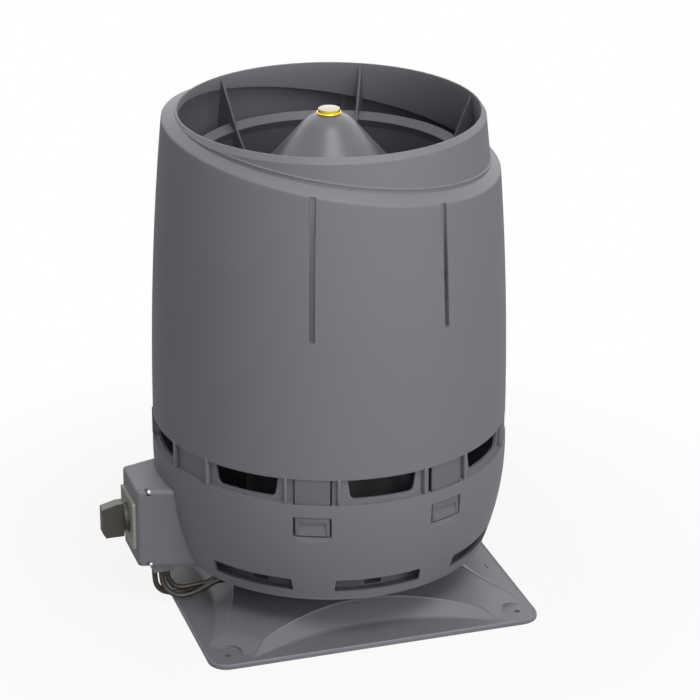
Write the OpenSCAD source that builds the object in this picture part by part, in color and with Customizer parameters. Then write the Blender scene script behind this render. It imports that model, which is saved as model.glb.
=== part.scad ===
// Roof exhaust fan: square roof plate, barrel-shaped lower body, lift-off hood with an
// upward outlet, centrifugal impeller on an external-rotor motor, and a rotary isolator box.
// Millimetres, +Z up. The origin is the centre of the base plate's underside.
// Angles round the fan are counted from the front (-Y) towards +X.

/* [Base plate] */
// Side of the square base plate
base_w = 330; // [326:2:350]
// Radius of the plate's corners
base_corner_r = 18; // [12:1:24]
// Thickness of the flat flange round the edge
flange_t = 5; // [4.5:0.5:6]
// Height of the crown where it meets the collar
crown_h = 22; // [20:0.5:24]
// Fall of the crown from the collar to its shoulder
crown_fall = 9; // [7:0.5:10]
// Radius of the crown's shoulder on the corner ridges
crown_shoulder_r = 178; // [172:1:184]
// Radius at which the crown meets the flange
crown_edge_r = 201; // [196:1:206]
// Wall of the moulded crown
base_wall = 3; // [2.5:0.5:3.5]
// Outer radius of the collar that carries the body
collar_r = 104; // [103:0.5:106]
// Height of the collar's top face
collar_top = 49; // [46:1:52]
// Radius of the arc that cuts a flat field into each side
lunette_r = 252; // [240:2:270]
// Distance from the axis to the flat field's inner end
lunette_reach = 127; // [120:1:132]
// Distance between roof screws along a side
screw_pitch = 292; // [288:1:296]
// Radius of a roof screw hole
roof_hole_r = 2.75; // [2.5:0.25:3.5]
// Radius of the clearance pocket round a roof screw
pocket_r = 15; // [12:0.5:17]

/* [Duct riser] */
// Radius of the duct that plugs in from below
duct_r = 80.5; // [80:0.25:81]
// Depth of the duct socket
duct_depth = 60; // [50:2:66]
// Radius of the riser's bore above the socket
riser_bore_r = 78; // [77:0.5:79]
// Wall of the riser
riser_wall = 2.5; // [2:0.25:3]
// Height of the riser's top
riser_top = 236; // [228:1:240]

/* [Lower body] */
// Outer radius of the body at its widest
body_r = 173; // [172:0.25:175]
// Height of the body's widest place
body_wide_z = 150; // [146:1:154]
// Radius of the barrel's curve
barrel_r = 280; // [270:2:300]
// Wall of the body
body_wall = 3.2; // [3:0.1:3.6]
// Height of the ledge below the air slots
ledge_z = 157; // [155:0.5:159]
// Height of the recess wall's top, inside the hood
recess_top = 200; // [194:1:206]
// Step from the body's side in to the recess wall
recess_step = 5; // [4.8:0.1:5.6]
// Width of an air slot at the hood's edge
slot_w = 70; // [62:1:74]
// Width of an air slot at its foot
slot_foot_w = 61; // [54:1:66]
// Width of a drain window
drain_w = 84; // [70:2:90]
// Height of a drain window
drain_h = 14; // [10:0.5:16]
// Height of a drain window's sill
drain_z = 59.5; // [58.5:0.5:62]
// Radius of the gutter wall behind the drain windows
gutter_r = 140; // [134:1:144]
// Height of the gutter wall's top
gutter_top = 80; // [76:1:86]

/* [Hood] */
// Height of the hood's lower edge above the ledge
slot_open_h = 25.2; // [22:0.2:28]
// Radius of the hood's long upright curve
hood_curve_r = 3000; // [2600:100:4000]
// Wall of the hood
hood_wall = 3; // [2.5:0.25:3.25]
// Height at which the slanted shoulder crosses the axis
slant_z = 456.7; // [452:0.5:460]
// Slope of the shoulder
slant_deg = 8.8; // [7:0.2:9.4]
// Direction of the shoulder's low side
slant_dir = 67; // [60:1:75]
// Outer radius of the shoulder's sloping band
band_r = 158.6; // [157.5:0.1:159]
// Slope of that band against the shoulder's plane
band_deg = 28; // [24:1:32]
// Width of a groove down the hood
groove_w = 5; // [3:0.25:6.5]
// Height at which the grooves end
groove_z = 319; // [300:2:340]

/* [Outlet] */
// Height of the outlet's rim
rim_z = 486.7; // [484:0.5:492]
// Outer radius of the outlet's rim
rim_r = 143.5; // [142:0.25:145]
// Growth of the outlet collar's radius per millimetre down
collar_taper = 0.146; // [0.12:0.002:0.16]
// Wall of the outlet collar
outlet_wall = 2.8; // [2.4:0.2:3.2]
// Outer radius of the nozzle's duct
nozzle_r = 128.5; // [126:0.5:130]
// Wall of the nozzle
nozzle_wall = 2.5; // [2:0.25:3]
// Height of the nozzle's lip
nozzle_z = 441.6; // [436:0.4:446]
// Thickness of a guide fin
fin_t = 2.5; // [2:0.25:3.5]
// Radius of the cone cover's skirt
cone_r = 98; // [94:1:101]
// Height of the cone cover's seat on the carrier
carrier_z = 386; // [382:1:390]
// Radius of the cone cover's rounded nose
nose_r = 41.5; // [36:0.5:46]
// Radius of the bubble level
level_r = 12; // [10:0.5:14]

/* [Motor and impeller] */
// Radius of the impeller
impeller_r = 95; // [90:1:100]
// Radius of the inlet throat
throat_r = 62; // [58:1:64]
// Height of the impeller's back plate
back_z = 316; // [310:1:322]
// Number of blades
blade_count = 7; // [5:1:9]
// Outer radius of the rotor can
rotor_r = 46; // [42:0.5:50]
// Height of the rotor can
rotor_h = 50; // [44:1:52]
// Radius of the motor shaft
shaft_r = 5; // [4:0.25:6]

/* [Switch box] */
// Half width of the box at its front
box_hw = 29.5; // [28:0.5:32]
// Growth of the half width per millimetre towards the body
box_flare = 0.3; // [0.2:0.02:0.34]
// Height of the box's underside
box_z0 = 48.5; // [47.5:0.25:50]
// Height of the box's top
box_z1 = 131.5; // [126:0.5:134]
// Distance from the body's side to the joint between box and cover
box_depth = 15; // [13:0.5:17]
// Depth of the cover
cover_d = 14; // [12:0.5:16]
// Wall of the box
box_wall = 2.5; // [2:0.25:3]
// Side of the square bezel
bezel_w = 49; // [44:0.5:52]
// Thickness of the bezel
bezel_t = 3.5; // [3:0.25:4.5]
// Radius of the knob's hub
hub_r = 13; // [11:0.5:15]
// Length of the knob's handle
handle_l = 35; // [30:1:40]
// Width of the knob's handle
handle_w = 12; // [10:0.5:14]
// Length of the gland block below the box
gland_l = 23; // [20:0.5:24]
// Height of the gland block
gland_h = 9; // [8:0.25:11]
// Diameter of a power cable
cable_d = 5.4; // [4.8:0.2:6]

/* [Latches] */
// Angle of the latches off the front and back
latch_at = 22.5; // [22.5]
// Width of a latch tongue
latch_w = 33; // [30:0.5:34]
// Thickness of a latch tongue
latch_t = 2.1; // [1.8:0.1:2.3]
// Height of a latch button's lower edge
button_z = 124.3; // [120:0.3:128]
// Height of the body strip over the tongue
strip_h = 13; // [11:0.5:15]
// Swing of a latch when it is pressed in
latch_swing = 5; // [4:0.5:5]

/* [Hidden] */
$fn = 96;
fine = 720;
eps = 0.02;

body_screw = [4.2, 2.8, 1.9, 10];
cover_screw = [2.5, 2.2, 1.1, 7];
floor_screw = [3.2, 2, 1.5, 5.6];
motor_screw = [3.6, 2.4, 1.65, 8.5];
impeller_screw = [3.6, 2.2, 1.55, 4.4];
pilot_at = 49;
pilot_apart = 5;
fit = 0.15;
free = 0.3;
strip_t = 1.7;
flange_top_t = 4;
riser_flange_t = 3;
floor_t = 3;
body_z0 = collar_top;
floor_z0 = collar_top + riser_flange_t;
floor_z1 = floor_z0 + floor_t;
riser_out_r = duct_r + riser_wall;
riser_up_r = riser_bore_r + riser_wall + 0.5;
body_screw_r = (riser_out_r + collar_r) / 2 + 1;
barrel_c = body_r - barrel_r;
recess_r = body_r - recess_step;
recess_wall = 3;
hood_z0 = ledge_z + slot_open_h;
hood_r0 = body_r - 0.8;
rib_out_r = hood_r0 + 0.8;
bead_r = 1.4;
rib_w = 2.8;
rib_off = latch_w / 2 + 8.4;
step_deg = 45;
latch_angles = [latch_at, 180 - latch_at, 180 + latch_at, -latch_at];
latch_out_r = body_r - strip_t - free;
latch_in_r = latch_out_r - latch_t;
latch_pivot_z = hood_z0 - 1.2;
latch_gap = 1.5;
strip_z0 = ledge_z - strip_h;
nozzle_in_r = nozzle_r - nozzle_wall;
noz_floor_z = riser_top;
noz_floor_t = 3;
floor_gap = 1.8;
seat_step = 0.05;
noz_flange_r = nozzle_r + 7.5;
carrier_t = 4;
carrier_r = cone_r + 2;
stator_flange_t = 5;
stator_flange_r = rotor_r + 4;
bearing_r = 13;
bearing_w = 9;
nose_c = carrier_z + 55.8 + (cone_r - 98);
cone_slope_sum = nose_c + nose_r * sqrt(2);
bell_r = 20;
box_seam = body_r + box_depth;
box_zc = (box_z0 + box_z1) / 2;
knob_z = box_zc;
cover_x = box_seam + cover_d;
bezel_x = cover_x + bezel_t;
hub_x = bezel_x + 4.5;
handle_x = hub_x + 21;
gland_x0 = box_seam + 0.5 - gland_l;
conn_r0 = riser_up_r;
conn_z0 = 178;
conn_z1 = 205;
sleeve_l = 30;
plug_x0 = riser_up_r + 6;
plug_x1 = plug_x0 + 10;
grommet_at = -72;
grommet_z = 31;
grommet_r = 11.5;
grommet_bores = [[-5.5, 2.5], [0, -5.5], [5.5, 2.5]];
terminal_at = grommet_at + 22;
terminal_x0 = -7.75;
terminal_z = 18;
terminal_w = 28;
terminal_d = 13.5;
terminal_h = 22;
block_w = 40;
block_h = 42;
block_d = 18.5;
seal_lip = 3;
seal_out = 2.3;
shroud_rise = 16.1;
shroud_t = 2.4;
cable_up_r = 90.5;
collar_wall = 4;
latch_room = latch_t + (latch_pivot_z - button_z) * tan(latch_swing) + 4;
collar_l = 120;
slot_l = 90;

// Power cable routes, straight out of the gland, over the plate and into the collar
supply_route_1 = [
  [-171.5, -19, 39.7], [-171.5, -19, 34], [-170, -19.5, 26], [-165, -20.3, 19], [-157, -21.5, 16.5],
  [-147, -23.5, 18], [-137, -27, 20.5], [-127, -31.5, 23.5], [-118, -35, 25], [-110, -35.6, 25.5],
  [-102.7, -33.4, 25.5], [-97.5, -31.7, 25.5], [-94.5, -30.7, 25.5], [-91.3, -30.4, 25.5],
  [-88.6, -32.2, 25.5], [-86.8, -35.5, 25.5], [-85, -40, 25.5], [-82.5, -45.2, 25.5],
  [-79.6, -49.9, 25.5], [-76.4, -53.7, 25.5]];
supply_route_2 = [
  [-177.5, -20, 39.7], [-177.5, -20.5, 32], [-176, -22, 22], [-170, -25, 14], [-160, -27.5, 10.5],
  [-149, -30.5, 13], [-138, -34.5, 19.5], [-128, -39, 27], [-118, -42, 32], [-109.5, -41.3, 33.5],
  [-101, -38.6, 33.5], [-95.5, -36.8, 33.5], [-91.8, -35.9, 33.5], [-89, -37.2, 33.5], [-87, -40, 33.5],
  [-85, -43.7, 33.5], [-82.3, -47.2, 33.5], [-79.6, -49.9, 33.5], [-76.4, -53.7, 33.5]];
motor_route = [
  [-183.5, -17, 39.7], [-183.5, -17, 31], [-182, -17.5, 21], [-176, -18, 13.5], [-166, -18.5, 10.5],
  [-156, -19, 10.5], [-147, -19.5, 12], [-137, -21, 16], [-128, -24, 22], [-119.5, -28, 28.5],
  [-112, -30.4, 32.5], [-104.4, -28.1, 33.5], [-98.5, -26.2, 33.5], [-93, -24.4, 33.5],
  [-90.3, -20.5, 34], [-89.8, -15, 35.5], [-90, -9, 38], [-90.3, -3.5, 41], [-90.5, -0.8, 46],
  [-90.5, 0, 53], [-90.5, 0, 70], [-90.5, 0, 110], [-90.5, 0, 150], [-90.5, 0, 181]];
lead_route = [
  [-93, 0, 236.3], [-93, 0, 241], [-98, 3, 246], [-107, 6, 251], [-117, 8, 259], [-121, 9, 270],
  [-121, 9, 300], [-121, 9, 340], [-120.5, 9, 362], [-116, 8.5, 374], [-106, 8, 378.5], [-85, 7.5, 379],
  [-64, 7, 379], [-51, 6.5, 379]];

shell_grey = [0.45, 0.45, 0.48];

// Place children at an angle round the fan and a distance from its axis
module at_angle(deg, r = 0, z = 0) rotate([0, 0, deg]) translate([0, -r, z]) children();

// Copies at equal angles
module ring_of(count, first = 0) for (i = [0 : count - 1]) rotate([0, 0, first + i * 360 / count]) children();

// The tilted frame of the hood's shoulder
module slanted(drop = 0)
  translate([0, 0, slant_z]) rotate([0, 0, slant_dir]) rotate([slant_deg, 0, 0]) translate([0, 0, -drop])
    children();

// A square plate with round corners, its centre on the axis
module rounded_2d(w, d, r) {
  square([w - 2 * r, d], center = true);
  square([w, d - 2 * r], center = true);
  for (sx = [-1, 1], sy = [-1, 1]) translate([sx * (w / 2 - r), sy * (d / 2 - r)]) circle(r);
}

// The way of the motor cable up through a floor
module motor_cable_hole(z, t) translate([-cable_up_r, 0, z - 1]) cylinder(r = cable_d / 2 + 1.8, h = t + 2,
  $fn = 32);

// A tube swept along a route of points
function unit(v) = v / norm(v);
function tangent(p, i) = unit(p[min(i + 1, len(p) - 1)] - p[max(i - 1, 0)]);
function side(p, i) =
  let (t = tangent(p, i), s = cross(t, [0.31, 0.95, 0.02])) unit(s);
module tube(route, r, sides = 8) {
  n = len(route);
  points = [for (i = [0 : n - 1]) let (s = side(route, i), b = cross(tangent(route, i), s))
    for (k = [0 : sides - 1]) route[i] + r * (cos(k * 360 / sides) * s + sin(k * 360 / sides) * b)];
  walls = [for (i = [0 : n - 2], k = [0 : sides - 1]) let (m = (k + 1) % sides)
    [i * sides + k, i * sides + m, (i + 1) * sides + m, (i + 1) * sides + k]];
  foot = [for (k = [0 : sides - 1]) sides - 1 - k];
  head = [for (k = [0 : sides - 1]) (n - 1) * sides + k];
  polyhedron(points, concat([foot], [for (w = walls) [w[0], w[1], w[2], w[3]]], [head]), convexity = 4);
}

// A pan-head screw along -Z, its seat at z = 0, of given head radius and height, shank radius and length
module screw(sizes) {
  head_r = sizes[0];
  head_h = sizes[1];
  shank_r = sizes[2];
  shank_l = sizes[3];
  rotate_extrude($fn = 32) difference() {
    polygon([[0, -shank_l], [shank_r - 0.4, -shank_l], [shank_r, -shank_l + 0.8], [shank_r, 0],
      [head_r, 0], [head_r, head_h * 0.55], [head_r * 0.8, head_h], [0, head_h]]);
    translate([-1, head_h * 0.5]) square([1 + head_r * 0.4, head_h]);
  }
}

// Base plate: flat flange, vaulted crown with ridges to the corners, and the collar
module lunettes(grow = 0) {
  h = crown_h - flange_t + 1;
  slope = (lunette_reach - collar_r - 1.5) / (crown_h - flange_t);
  for (a = [0 : 90 : 270]) at_angle(a, lunette_reach + lunette_r, flange_t - (grow > 0 ? flange_t + 1 : 0))
    cylinder(r1 = lunette_r + grow - (grow > 0 ? slope * (flange_t + 1) : 0),
      r2 = lunette_r + grow + slope * h, h = h + (grow > 0 ? flange_t + 1 : 0), $fn = fine);
}
module corner_places() for (sx = [-1, 1], sy = [-1, 1]) translate([sx * screw_pitch / 2,
  sy * screw_pitch / 2]) children();
module base_hollow() {
  difference() {
    rotate_extrude() polygon([[collar_r, -1], [collar_r, crown_h - base_wall], [collar_r + 2,
      crown_h - base_wall],
      [crown_shoulder_r, crown_h - crown_fall - base_wall], [crown_edge_r - base_wall - 3,
        flange_t - base_wall],
      [crown_edge_r - base_wall - 3, -1]]);
    lunettes(base_wall);
    corner_places() translate([0, 0, -2]) cylinder(r = pocket_r + base_wall, h = crown_h + 4);
    ring_of(8, step_deg / 2) translate([-1.25, -crown_edge_r, -2]) cube([2.5, crown_edge_r - collar_r,
      crown_h]);
  }
}
module base_plate() {
  seal_w = base_w - 16;
  color(shell_grey) difference() {
    union() {
      linear_extrude(flange_t) rounded_2d(base_w, base_w, base_corner_r);
      intersection() {
        rotate_extrude() polygon([[0, 1], [0, crown_h], [collar_r + 2, crown_h],
          [crown_shoulder_r, crown_h - crown_fall], [crown_edge_r, flange_t], [crown_edge_r, 1]]);
        linear_extrude(crown_h + 1) rounded_2d(base_w - 4, base_w - 4, base_corner_r - 2);
      }
      cylinder(r = collar_r, h = collar_top);
    }
    lunettes();
    corner_places() translate([0, 0, flange_t]) cylinder(r = pocket_r, h = crown_h);
    corner_places() translate([0, 0, -1]) cylinder(r = roof_hole_r, h = flange_t + 2, $fn = 48);
    base_hollow();
    translate([0, 0, -1]) cylinder(r = collar_r - collar_wall, h = collar_top - flange_top_t + 1);
    translate([0, 0, -1]) cylinder(r = riser_out_r + free, h = collar_top + 2);
    ring_of(8, step_deg / 2) translate([0, -body_screw_r, collar_top - flange_top_t - 1])
      cylinder(r = 2, h = flange_top_t + 2, $fn = 32);
    motor_cable_hole(collar_top - flange_top_t, flange_top_t);
    translate([0, 0, -1]) linear_extrude(3.5) difference() {
      rounded_2d(seal_w, seal_w, base_corner_r - 7);
      rounded_2d(seal_w - 12, seal_w - 12, base_corner_r - 13);
    }
    for (a = [0 : 90 : 270], s = [-1, 1]) at_angle(a, base_w / 2 - 15, flange_t - 1.5)
      translate([s * pilot_at, 0, 0]) for (t = [-1, 1]) translate([t * pilot_apart / 2, 0, 0])
        cylinder(r = 1.1, h = 3, $fn = 24);
    at_angle(grommet_at, 0, grommet_z) rotate([90, 0, 0]) {
      cylinder(r = grommet_r + fit, h = collar_r + 5, $fn = 48);
      translate([0, 0, collar_r - 0.2]) cylinder(r = grommet_r + 1.5 + fit, h = 8, $fn = 48);
    }
  }
}
module base_seal() {
  seal_w = base_w - 16;
  color([0.16, 0.16, 0.17]) translate([0, 0, 0.3]) linear_extrude(2.2) difference() {
    rounded_2d(seal_w - 2 * fit, seal_w - 2 * fit, base_corner_r - 7 - fit);
    rounded_2d(seal_w - 12 + 2 * fit, seal_w - 12 + 2 * fit, base_corner_r - 13 + fit);
  }
}

// Riser: the duct's socket below, a flange on the collar, and the tube up to the inlet
module inlet_riser() {
  color([0.62, 0.63, 0.65]) difference() {
    rotate_extrude() polygon([[duct_r + 1.2, 0], [riser_out_r, 0], [riser_out_r, collar_top],
      [collar_r - 1, collar_top],
      [collar_r - 1, floor_z0], [riser_out_r, floor_z0], [riser_out_r, duct_depth + 2.5], [riser_up_r,
        duct_depth + 6],
      [riser_up_r, riser_top - 2], [riser_up_r - 1, riser_top], [riser_bore_r, riser_top],
      [riser_bore_r, duct_depth], [duct_r, duct_depth], [duct_r, 1.2]]);
    ring_of(8, step_deg / 2) translate([0, -body_screw_r, collar_top - 1]) cylinder(r = 2.6, h = 5, $fn = 32);
    motor_cable_hole(collar_top, riser_flange_t);
  }
}

// Lower body: barrel-shaped skirt with a ledge, recess wall, floor and gutter wall
module barrel_2d(grow = 0) translate([barrel_c, body_wide_z]) circle(barrel_r + grow, $fn = fine);
module barrel_solid(grow = 0) rotate_extrude($fn = 180) intersection() {
  barrel_2d(grow);
  translate([0, body_z0 - 5]) square([body_r + 20, ledge_z - body_z0 + 5]);
}
module body_profile() {
  intersection() {
    difference() {
      barrel_2d();
      barrel_2d(-body_wall);
    }
    translate([body_r / 2, body_z0]) square([body_r, ledge_z - body_z0]);
  }
  translate([riser_out_r + 1, floor_z0])
    square([barrel_c + barrel_r * cos(asin((body_wide_z - floor_z0) / barrel_r))
    - 1 - riser_out_r - 1, floor_t]);
  translate([recess_r - recess_wall, ledge_z - 3.5]) square([body_r - recess_r + recess_wall - 1.5, 3.5]);
  translate([recess_r - recess_wall, ledge_z - 1]) square([recess_wall, recess_top - ledge_z + 1]);
  translate([gutter_r - 2.5, floor_z1 - 0.5]) square([2.5, gutter_top - floor_z1 + 0.5]);
  bead_2d();
}
// Round bead along the foot of the body's wall
module bead_2d(grow = 0)
  translate([barrel_c + barrel_r * cos(asin((body_wide_z - body_z0) / barrel_r)) - 0.6, body_z0 + bead_r])
    circle(bead_r + grow, $fn = 32);
// Outline of an air slot: wide at the top, round at the foot
module slot_2d(top_w, foot_w, h, r) {
  k = (top_w - foot_w) / 2 / h;
  polygon([[-foot_w / 2 - k * r, r], [-foot_w / 2 + r, 0], [foot_w / 2 - r, 0], [foot_w / 2 + k * r, r],
    [top_w / 2, h], [-top_w / 2, h]]);
  for (s = [-1, 1]) translate([s * (foot_w / 2 - r + 0.2), r]) circle(r, $fn = 48);
}
module latch_cuts(a) {
  cut_w = latch_w + 2 * latch_gap;
  at_angle(a) {
    translate([-cut_w / 2, -latch_out_r - free, button_z - 0.8])
      cube([cut_w, latch_room, recess_top - 12 - button_z]);
    translate([-cut_w / 2, -body_r - 4, button_z - 0.8]) cube([cut_w, latch_room, strip_z0 - button_z + 0.8]);
    rotate([90, 0, 90]) translate([0, 0, -cut_w / 2 + 1]) linear_extrude(cut_w - 2)
      polygon([[-body_r - 3, button_z - 24], [-body_r + 0.9, button_z - 24], [-body_r + 2.4, button_z],
        [-body_r - 3, button_z]]);
  }
}
module lower_body() {
  color(shell_grey) difference() {
    rotate_extrude($fn = 180) body_profile();
    ring_of(8) translate([0, -recess_r + 8, ledge_z + 4]) rotate([90, 0, 0]) linear_extrude(20)
      slot_2d(slot_w, slot_foot_w, slot_open_h + 8, 5);
    for (i = [0 : 7]) if (i != 6) rotate([0, 0, i * step_deg]) translate([0, -gutter_r - 6,
      drain_z + drain_h / 2])
      rotate([90, 0, 0]) linear_extrude(40) rounded_2d(drain_w, drain_h, 2);
    ring_of(8) translate([-8, -gutter_r - 1, floor_z1 + 1]) cube([16, 8, 10]);
    for (a = latch_angles) latch_cuts(a);
    ring_of(8, step_deg / 2) translate([0, -body_screw_r, floor_z0 - 1]) cylinder(r = 2.6, h = 5, $fn = 32);
    motor_cable_hole(floor_z0, floor_t);
    box_fixings() cylinder(r = 1.6, h = 40, $fn = 24);
  }
}
module body_screws() color([0.75, 0.76, 0.78])
  ring_of(8, step_deg / 2) translate([0, -body_screw_r, floor_z1]) screw(body_screw);

// Supply terminals inside the collar, and the grommet in its wall
module terminal_block() {
  color([0.86, 0.85, 0.8]) difference() {
    at_angle(terminal_at) translate([terminal_x0, -collar_r + 1, terminal_z]) cube([terminal_w, terminal_d,
      terminal_h]);
    difference() {
      translate([0, 0, terminal_z - 1]) cylinder(r = collar_r + 5, h = 24);
      translate([0, 0, terminal_z - 2]) cylinder(r = collar_r - collar_wall - 0.05, h = 26);
    }
    for (i = [1 : 3]) at_angle(terminal_at) translate([terminal_x0 + i * 7, -collar_r + 8, terminal_z + 19])
      cylinder(r = 2, h = 8, $fn = 32);
  }
}
module cable_grommet() {
  color([0.09, 0.09, 0.09]) difference() {
    at_angle(grommet_at, collar_r + 1.5, grommet_z) rotate([-90, 0, 0]) {
      cylinder(r = grommet_r, h = 7, $fn = 48);
      cylinder(r = grommet_r + 1.5, h = 1.3, $fn = 48);
    }
    for (p = grommet_bores) at_angle(grommet_at) translate([p[0], -collar_r - 4, grommet_z + p[1]])
      rotate([-90, 0, 0]) cylinder(d = cable_d + 2 * free, h = 14, $fn = 32);
  }
}
module supply_cable_1() color([0.2, 0.18, 0.16]) tube(supply_route_1, cable_d / 2);
module supply_cable_2() color([0.2, 0.18, 0.16]) tube(supply_route_2, cable_d / 2);
module motor_cable() color([0.2, 0.18, 0.16]) tube(motor_route, cable_d / 2);

// Motor plug and socket: the socket stands on the riser, the plug hangs under the nozzle floor
module connector_socket() {
  color([0.12, 0.12, 0.13]) difference() {
    translate([-plug_x1 - 2.5, -11, conn_z0]) cube([plug_x1 + 2.5 - conn_r0 - 0.1, 22, conn_z1 - conn_z0]);
    translate([-plug_x1 - 0.5, -8, conn_z1 - 10]) cube([plug_x1 - plug_x0 + 1, 16, 12]);
    translate([-cable_up_r, 0, conn_z0 - 1]) cylinder(d = cable_d + 2 * fit, h = 4.2, $fn = 24);
  }
}
module connector_plug() {
  color([0.2, 0.2, 0.22]) difference() {
    union() {
      translate([-plug_x1, -7.5, conn_z1 - 9]) cube([plug_x1 - plug_x0, 15, 14]);
      translate([-plug_x1 - 2, -10, conn_z1 + 1]) cube([plug_x1 - plug_x0 + 2.8, 20,
        noz_floor_z - conn_z1 - 1.1]);
    }
    for (y = [-4.5, 0, 4.5]) translate([-(plug_x0 + plug_x1) / 2, y, conn_z1 - 10]) cylinder(r = 1.5,
      h = 8, $fn = 24);
  }
}
module motor_lead() color([0.1, 0.1, 0.11]) tube(lead_route, 2.4);

// Switch box on the body's left side: it flares towards the body it is screwed to
function box_half(x) = box_hw + box_flare * max(cover_x - x, 0);
module box_slab(x, grow) translate([-x, 0, box_zc]) rotate([90, 0, 90]) linear_extrude(eps)
  rounded_2d(2 * (box_half(x) + grow), box_z1 - box_z0 + 2 * grow, 5 + grow, $fn = 32);
module box_form(x0, x1, grow = 0) intersection() {
  hull() {
    box_slab(cover_x, grow - 2.2);
    box_slab(cover_x - 0.8, grow - 0.7);
    box_slab(cover_x - 2.6, grow);
    box_slab(barrel_c + barrel_r - 32, grow);
  }
  translate([-x1, -100, box_z0 - 20]) cube([x1 - x0, 200, 140]);
}
module at_box_corners(x) for (sy = [-1, 1], sz = [-1, 1])
  translate([-x, sy * (box_half(box_seam) - 3), box_zc + sz * ((box_z1 - box_z0) / 2 - 3)]) rotate([0, 90,
    0]) children();
module box_fixings() for (z = [box_z0 + 24, box_z1 - 16], s = [-1, 1]) translate([-box_seam, s * 16, z])
  rotate([0, 90, 0]) children();
module box_rear() {
  color(shell_grey) difference() {
    box_form(barrel_c + barrel_r - 31, box_seam);
    translate([-box_seam - 1, -box_half(box_seam) + 7, box_z0 + 3]) cube([10, 2 * box_half(box_seam) - 14,
      box_z1 - box_z0 - 6]);
    barrel_solid(fit);
    rotate_extrude($fn = 180) bead_2d(2 * fit);
    at_box_corners(box_seam + 1) cylinder(r = 1.2, h = 9, $fn = 24);
    box_fixings() cylinder(r = 1.6, h = 40, $fn = 24);
    for (r = [supply_route_1, supply_route_2, motor_route]) translate([r[0][0], r[0][1], box_z0 - 1])
      cylinder(d = cable_d, h = 5, $fn = 24);
  }
}
module box_cover() {
  color(shell_grey) difference() {
    box_form(box_seam, cover_x);
    translate([-cover_x + box_wall, -box_hw + box_wall, box_z0 + box_wall])
      cube([cover_d + 1, 2 * (box_hw - box_wall), box_z1 - box_z0 - 2 * box_wall]);
    at_box_corners(box_seam + 6) cylinder(r = 3.6, h = 4.5, $fn = 32);
    at_box_corners(box_seam + 2) cylinder(r = 1.4, h = 3, $fn = 24);
    translate([-cover_x - 1, 0, knob_z]) rotate([0, 90, 0]) cylinder(r = 8, h = 6, $fn = 48);
  }
}
module box_screws() color([0.82, 0.83, 0.85]) at_box_corners(box_seam + 1.5) rotate([180, 0, 0])
  screw(cover_screw);
module switch_bezel() {
  color([0.52, 0.53, 0.49]) difference() {
    translate([-bezel_x, 0, knob_z]) rotate([90, 0, 90]) {
      linear_extrude(bezel_t) rounded_2d(bezel_w, bezel_w, 2.5);
      translate([0, 0, bezel_t]) linear_extrude(box_wall) circle(7.8, $fn = 48);
    }
    translate([-bezel_x - 1, 0, knob_z]) rotate([0, 90, 0]) cylinder(r = 4.06, h = 20, $fn = 48);
    translate([-bezel_x - 1, 0, knob_z]) rotate([0, 90, 0]) cylinder(r = hub_r + 1, h = 2, $fn = 64);
  }
}
module switch_block() {
  x0 = cover_x - box_wall - block_d;
  color([0.82, 0.82, 0.78]) difference() {
    translate([-cover_x + box_wall, -block_w / 2, knob_z - block_h / 2]) cube([block_d, block_w, block_h]);
    translate([-cover_x, 0, knob_z]) rotate([0, 90, 0]) cylinder(r = 4.06, h = cover_x - x0 - 4, $fn = 48);
    for (s = [-1, 1], y = [-12, 0, 12]) translate([-x0 - 8, y, knob_z + s * block_h / 2 - 4])
      cube([5, 5, 8]);
  }
}
module switch_knob() {
  color([0.28, 0.27, 0.25]) {
    translate([-hub_x, 0, knob_z]) rotate([0, 90, 0]) difference() {
      cylinder(r = hub_r, h = hub_x - bezel_x + 0.6, $fn = 64);
      translate([0, 0, 2.5]) cylinder(r = 4.02, h = 10, $fn = 48);
    }
    intersection() {
      translate([-handle_x, -handle_w / 2, knob_z - handle_l / 2]) cube([handle_x - hub_x + 0.1, handle_w,
        handle_l]);
      rotate([90, 0, 0]) translate([0, 0, -handle_w]) linear_extrude(2 * handle_w)
        polygon([[-hub_x + 0.2, knob_z - handle_l / 2], [-handle_x + 3, knob_z - handle_l / 2],
          [-handle_x, knob_z - handle_l / 2 + 5], [-handle_x, knob_z + handle_l / 2 - 4],
          [-hub_x - 6, knob_z + handle_l / 2], [-hub_x + 0.2, knob_z + handle_l / 2]]);
    }
  }
}
module switch_shaft() color([0.7, 0.7, 0.68]) translate([-hub_x + 2.7, 0, knob_z]) rotate([0, 90, 0])
  cylinder(r = 4, h = hub_x - 2.7 - cover_x + box_wall + 12, $fn = 48);
module gland_block() {
  color([0.36, 0.36, 0.38]) difference() {
    translate([-gland_x0, 0, box_z0]) rotate([90, 0, 0]) translate([0, 0, -box_hw + 1.5])
      linear_extrude(2 * box_hw - 3)
      polygon([[0, 0], [-gland_l, 0], [-gland_l + 1.5, -gland_h], [-1.5, -gland_h]]);
    for (r = [supply_route_1, supply_route_2, motor_route]) translate([r[0][0], r[0][1],
      box_z0 - gland_h - 1])
      cylinder(d = cable_d + 0.4, h = 6, $fn = 24);
  }
}

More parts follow.
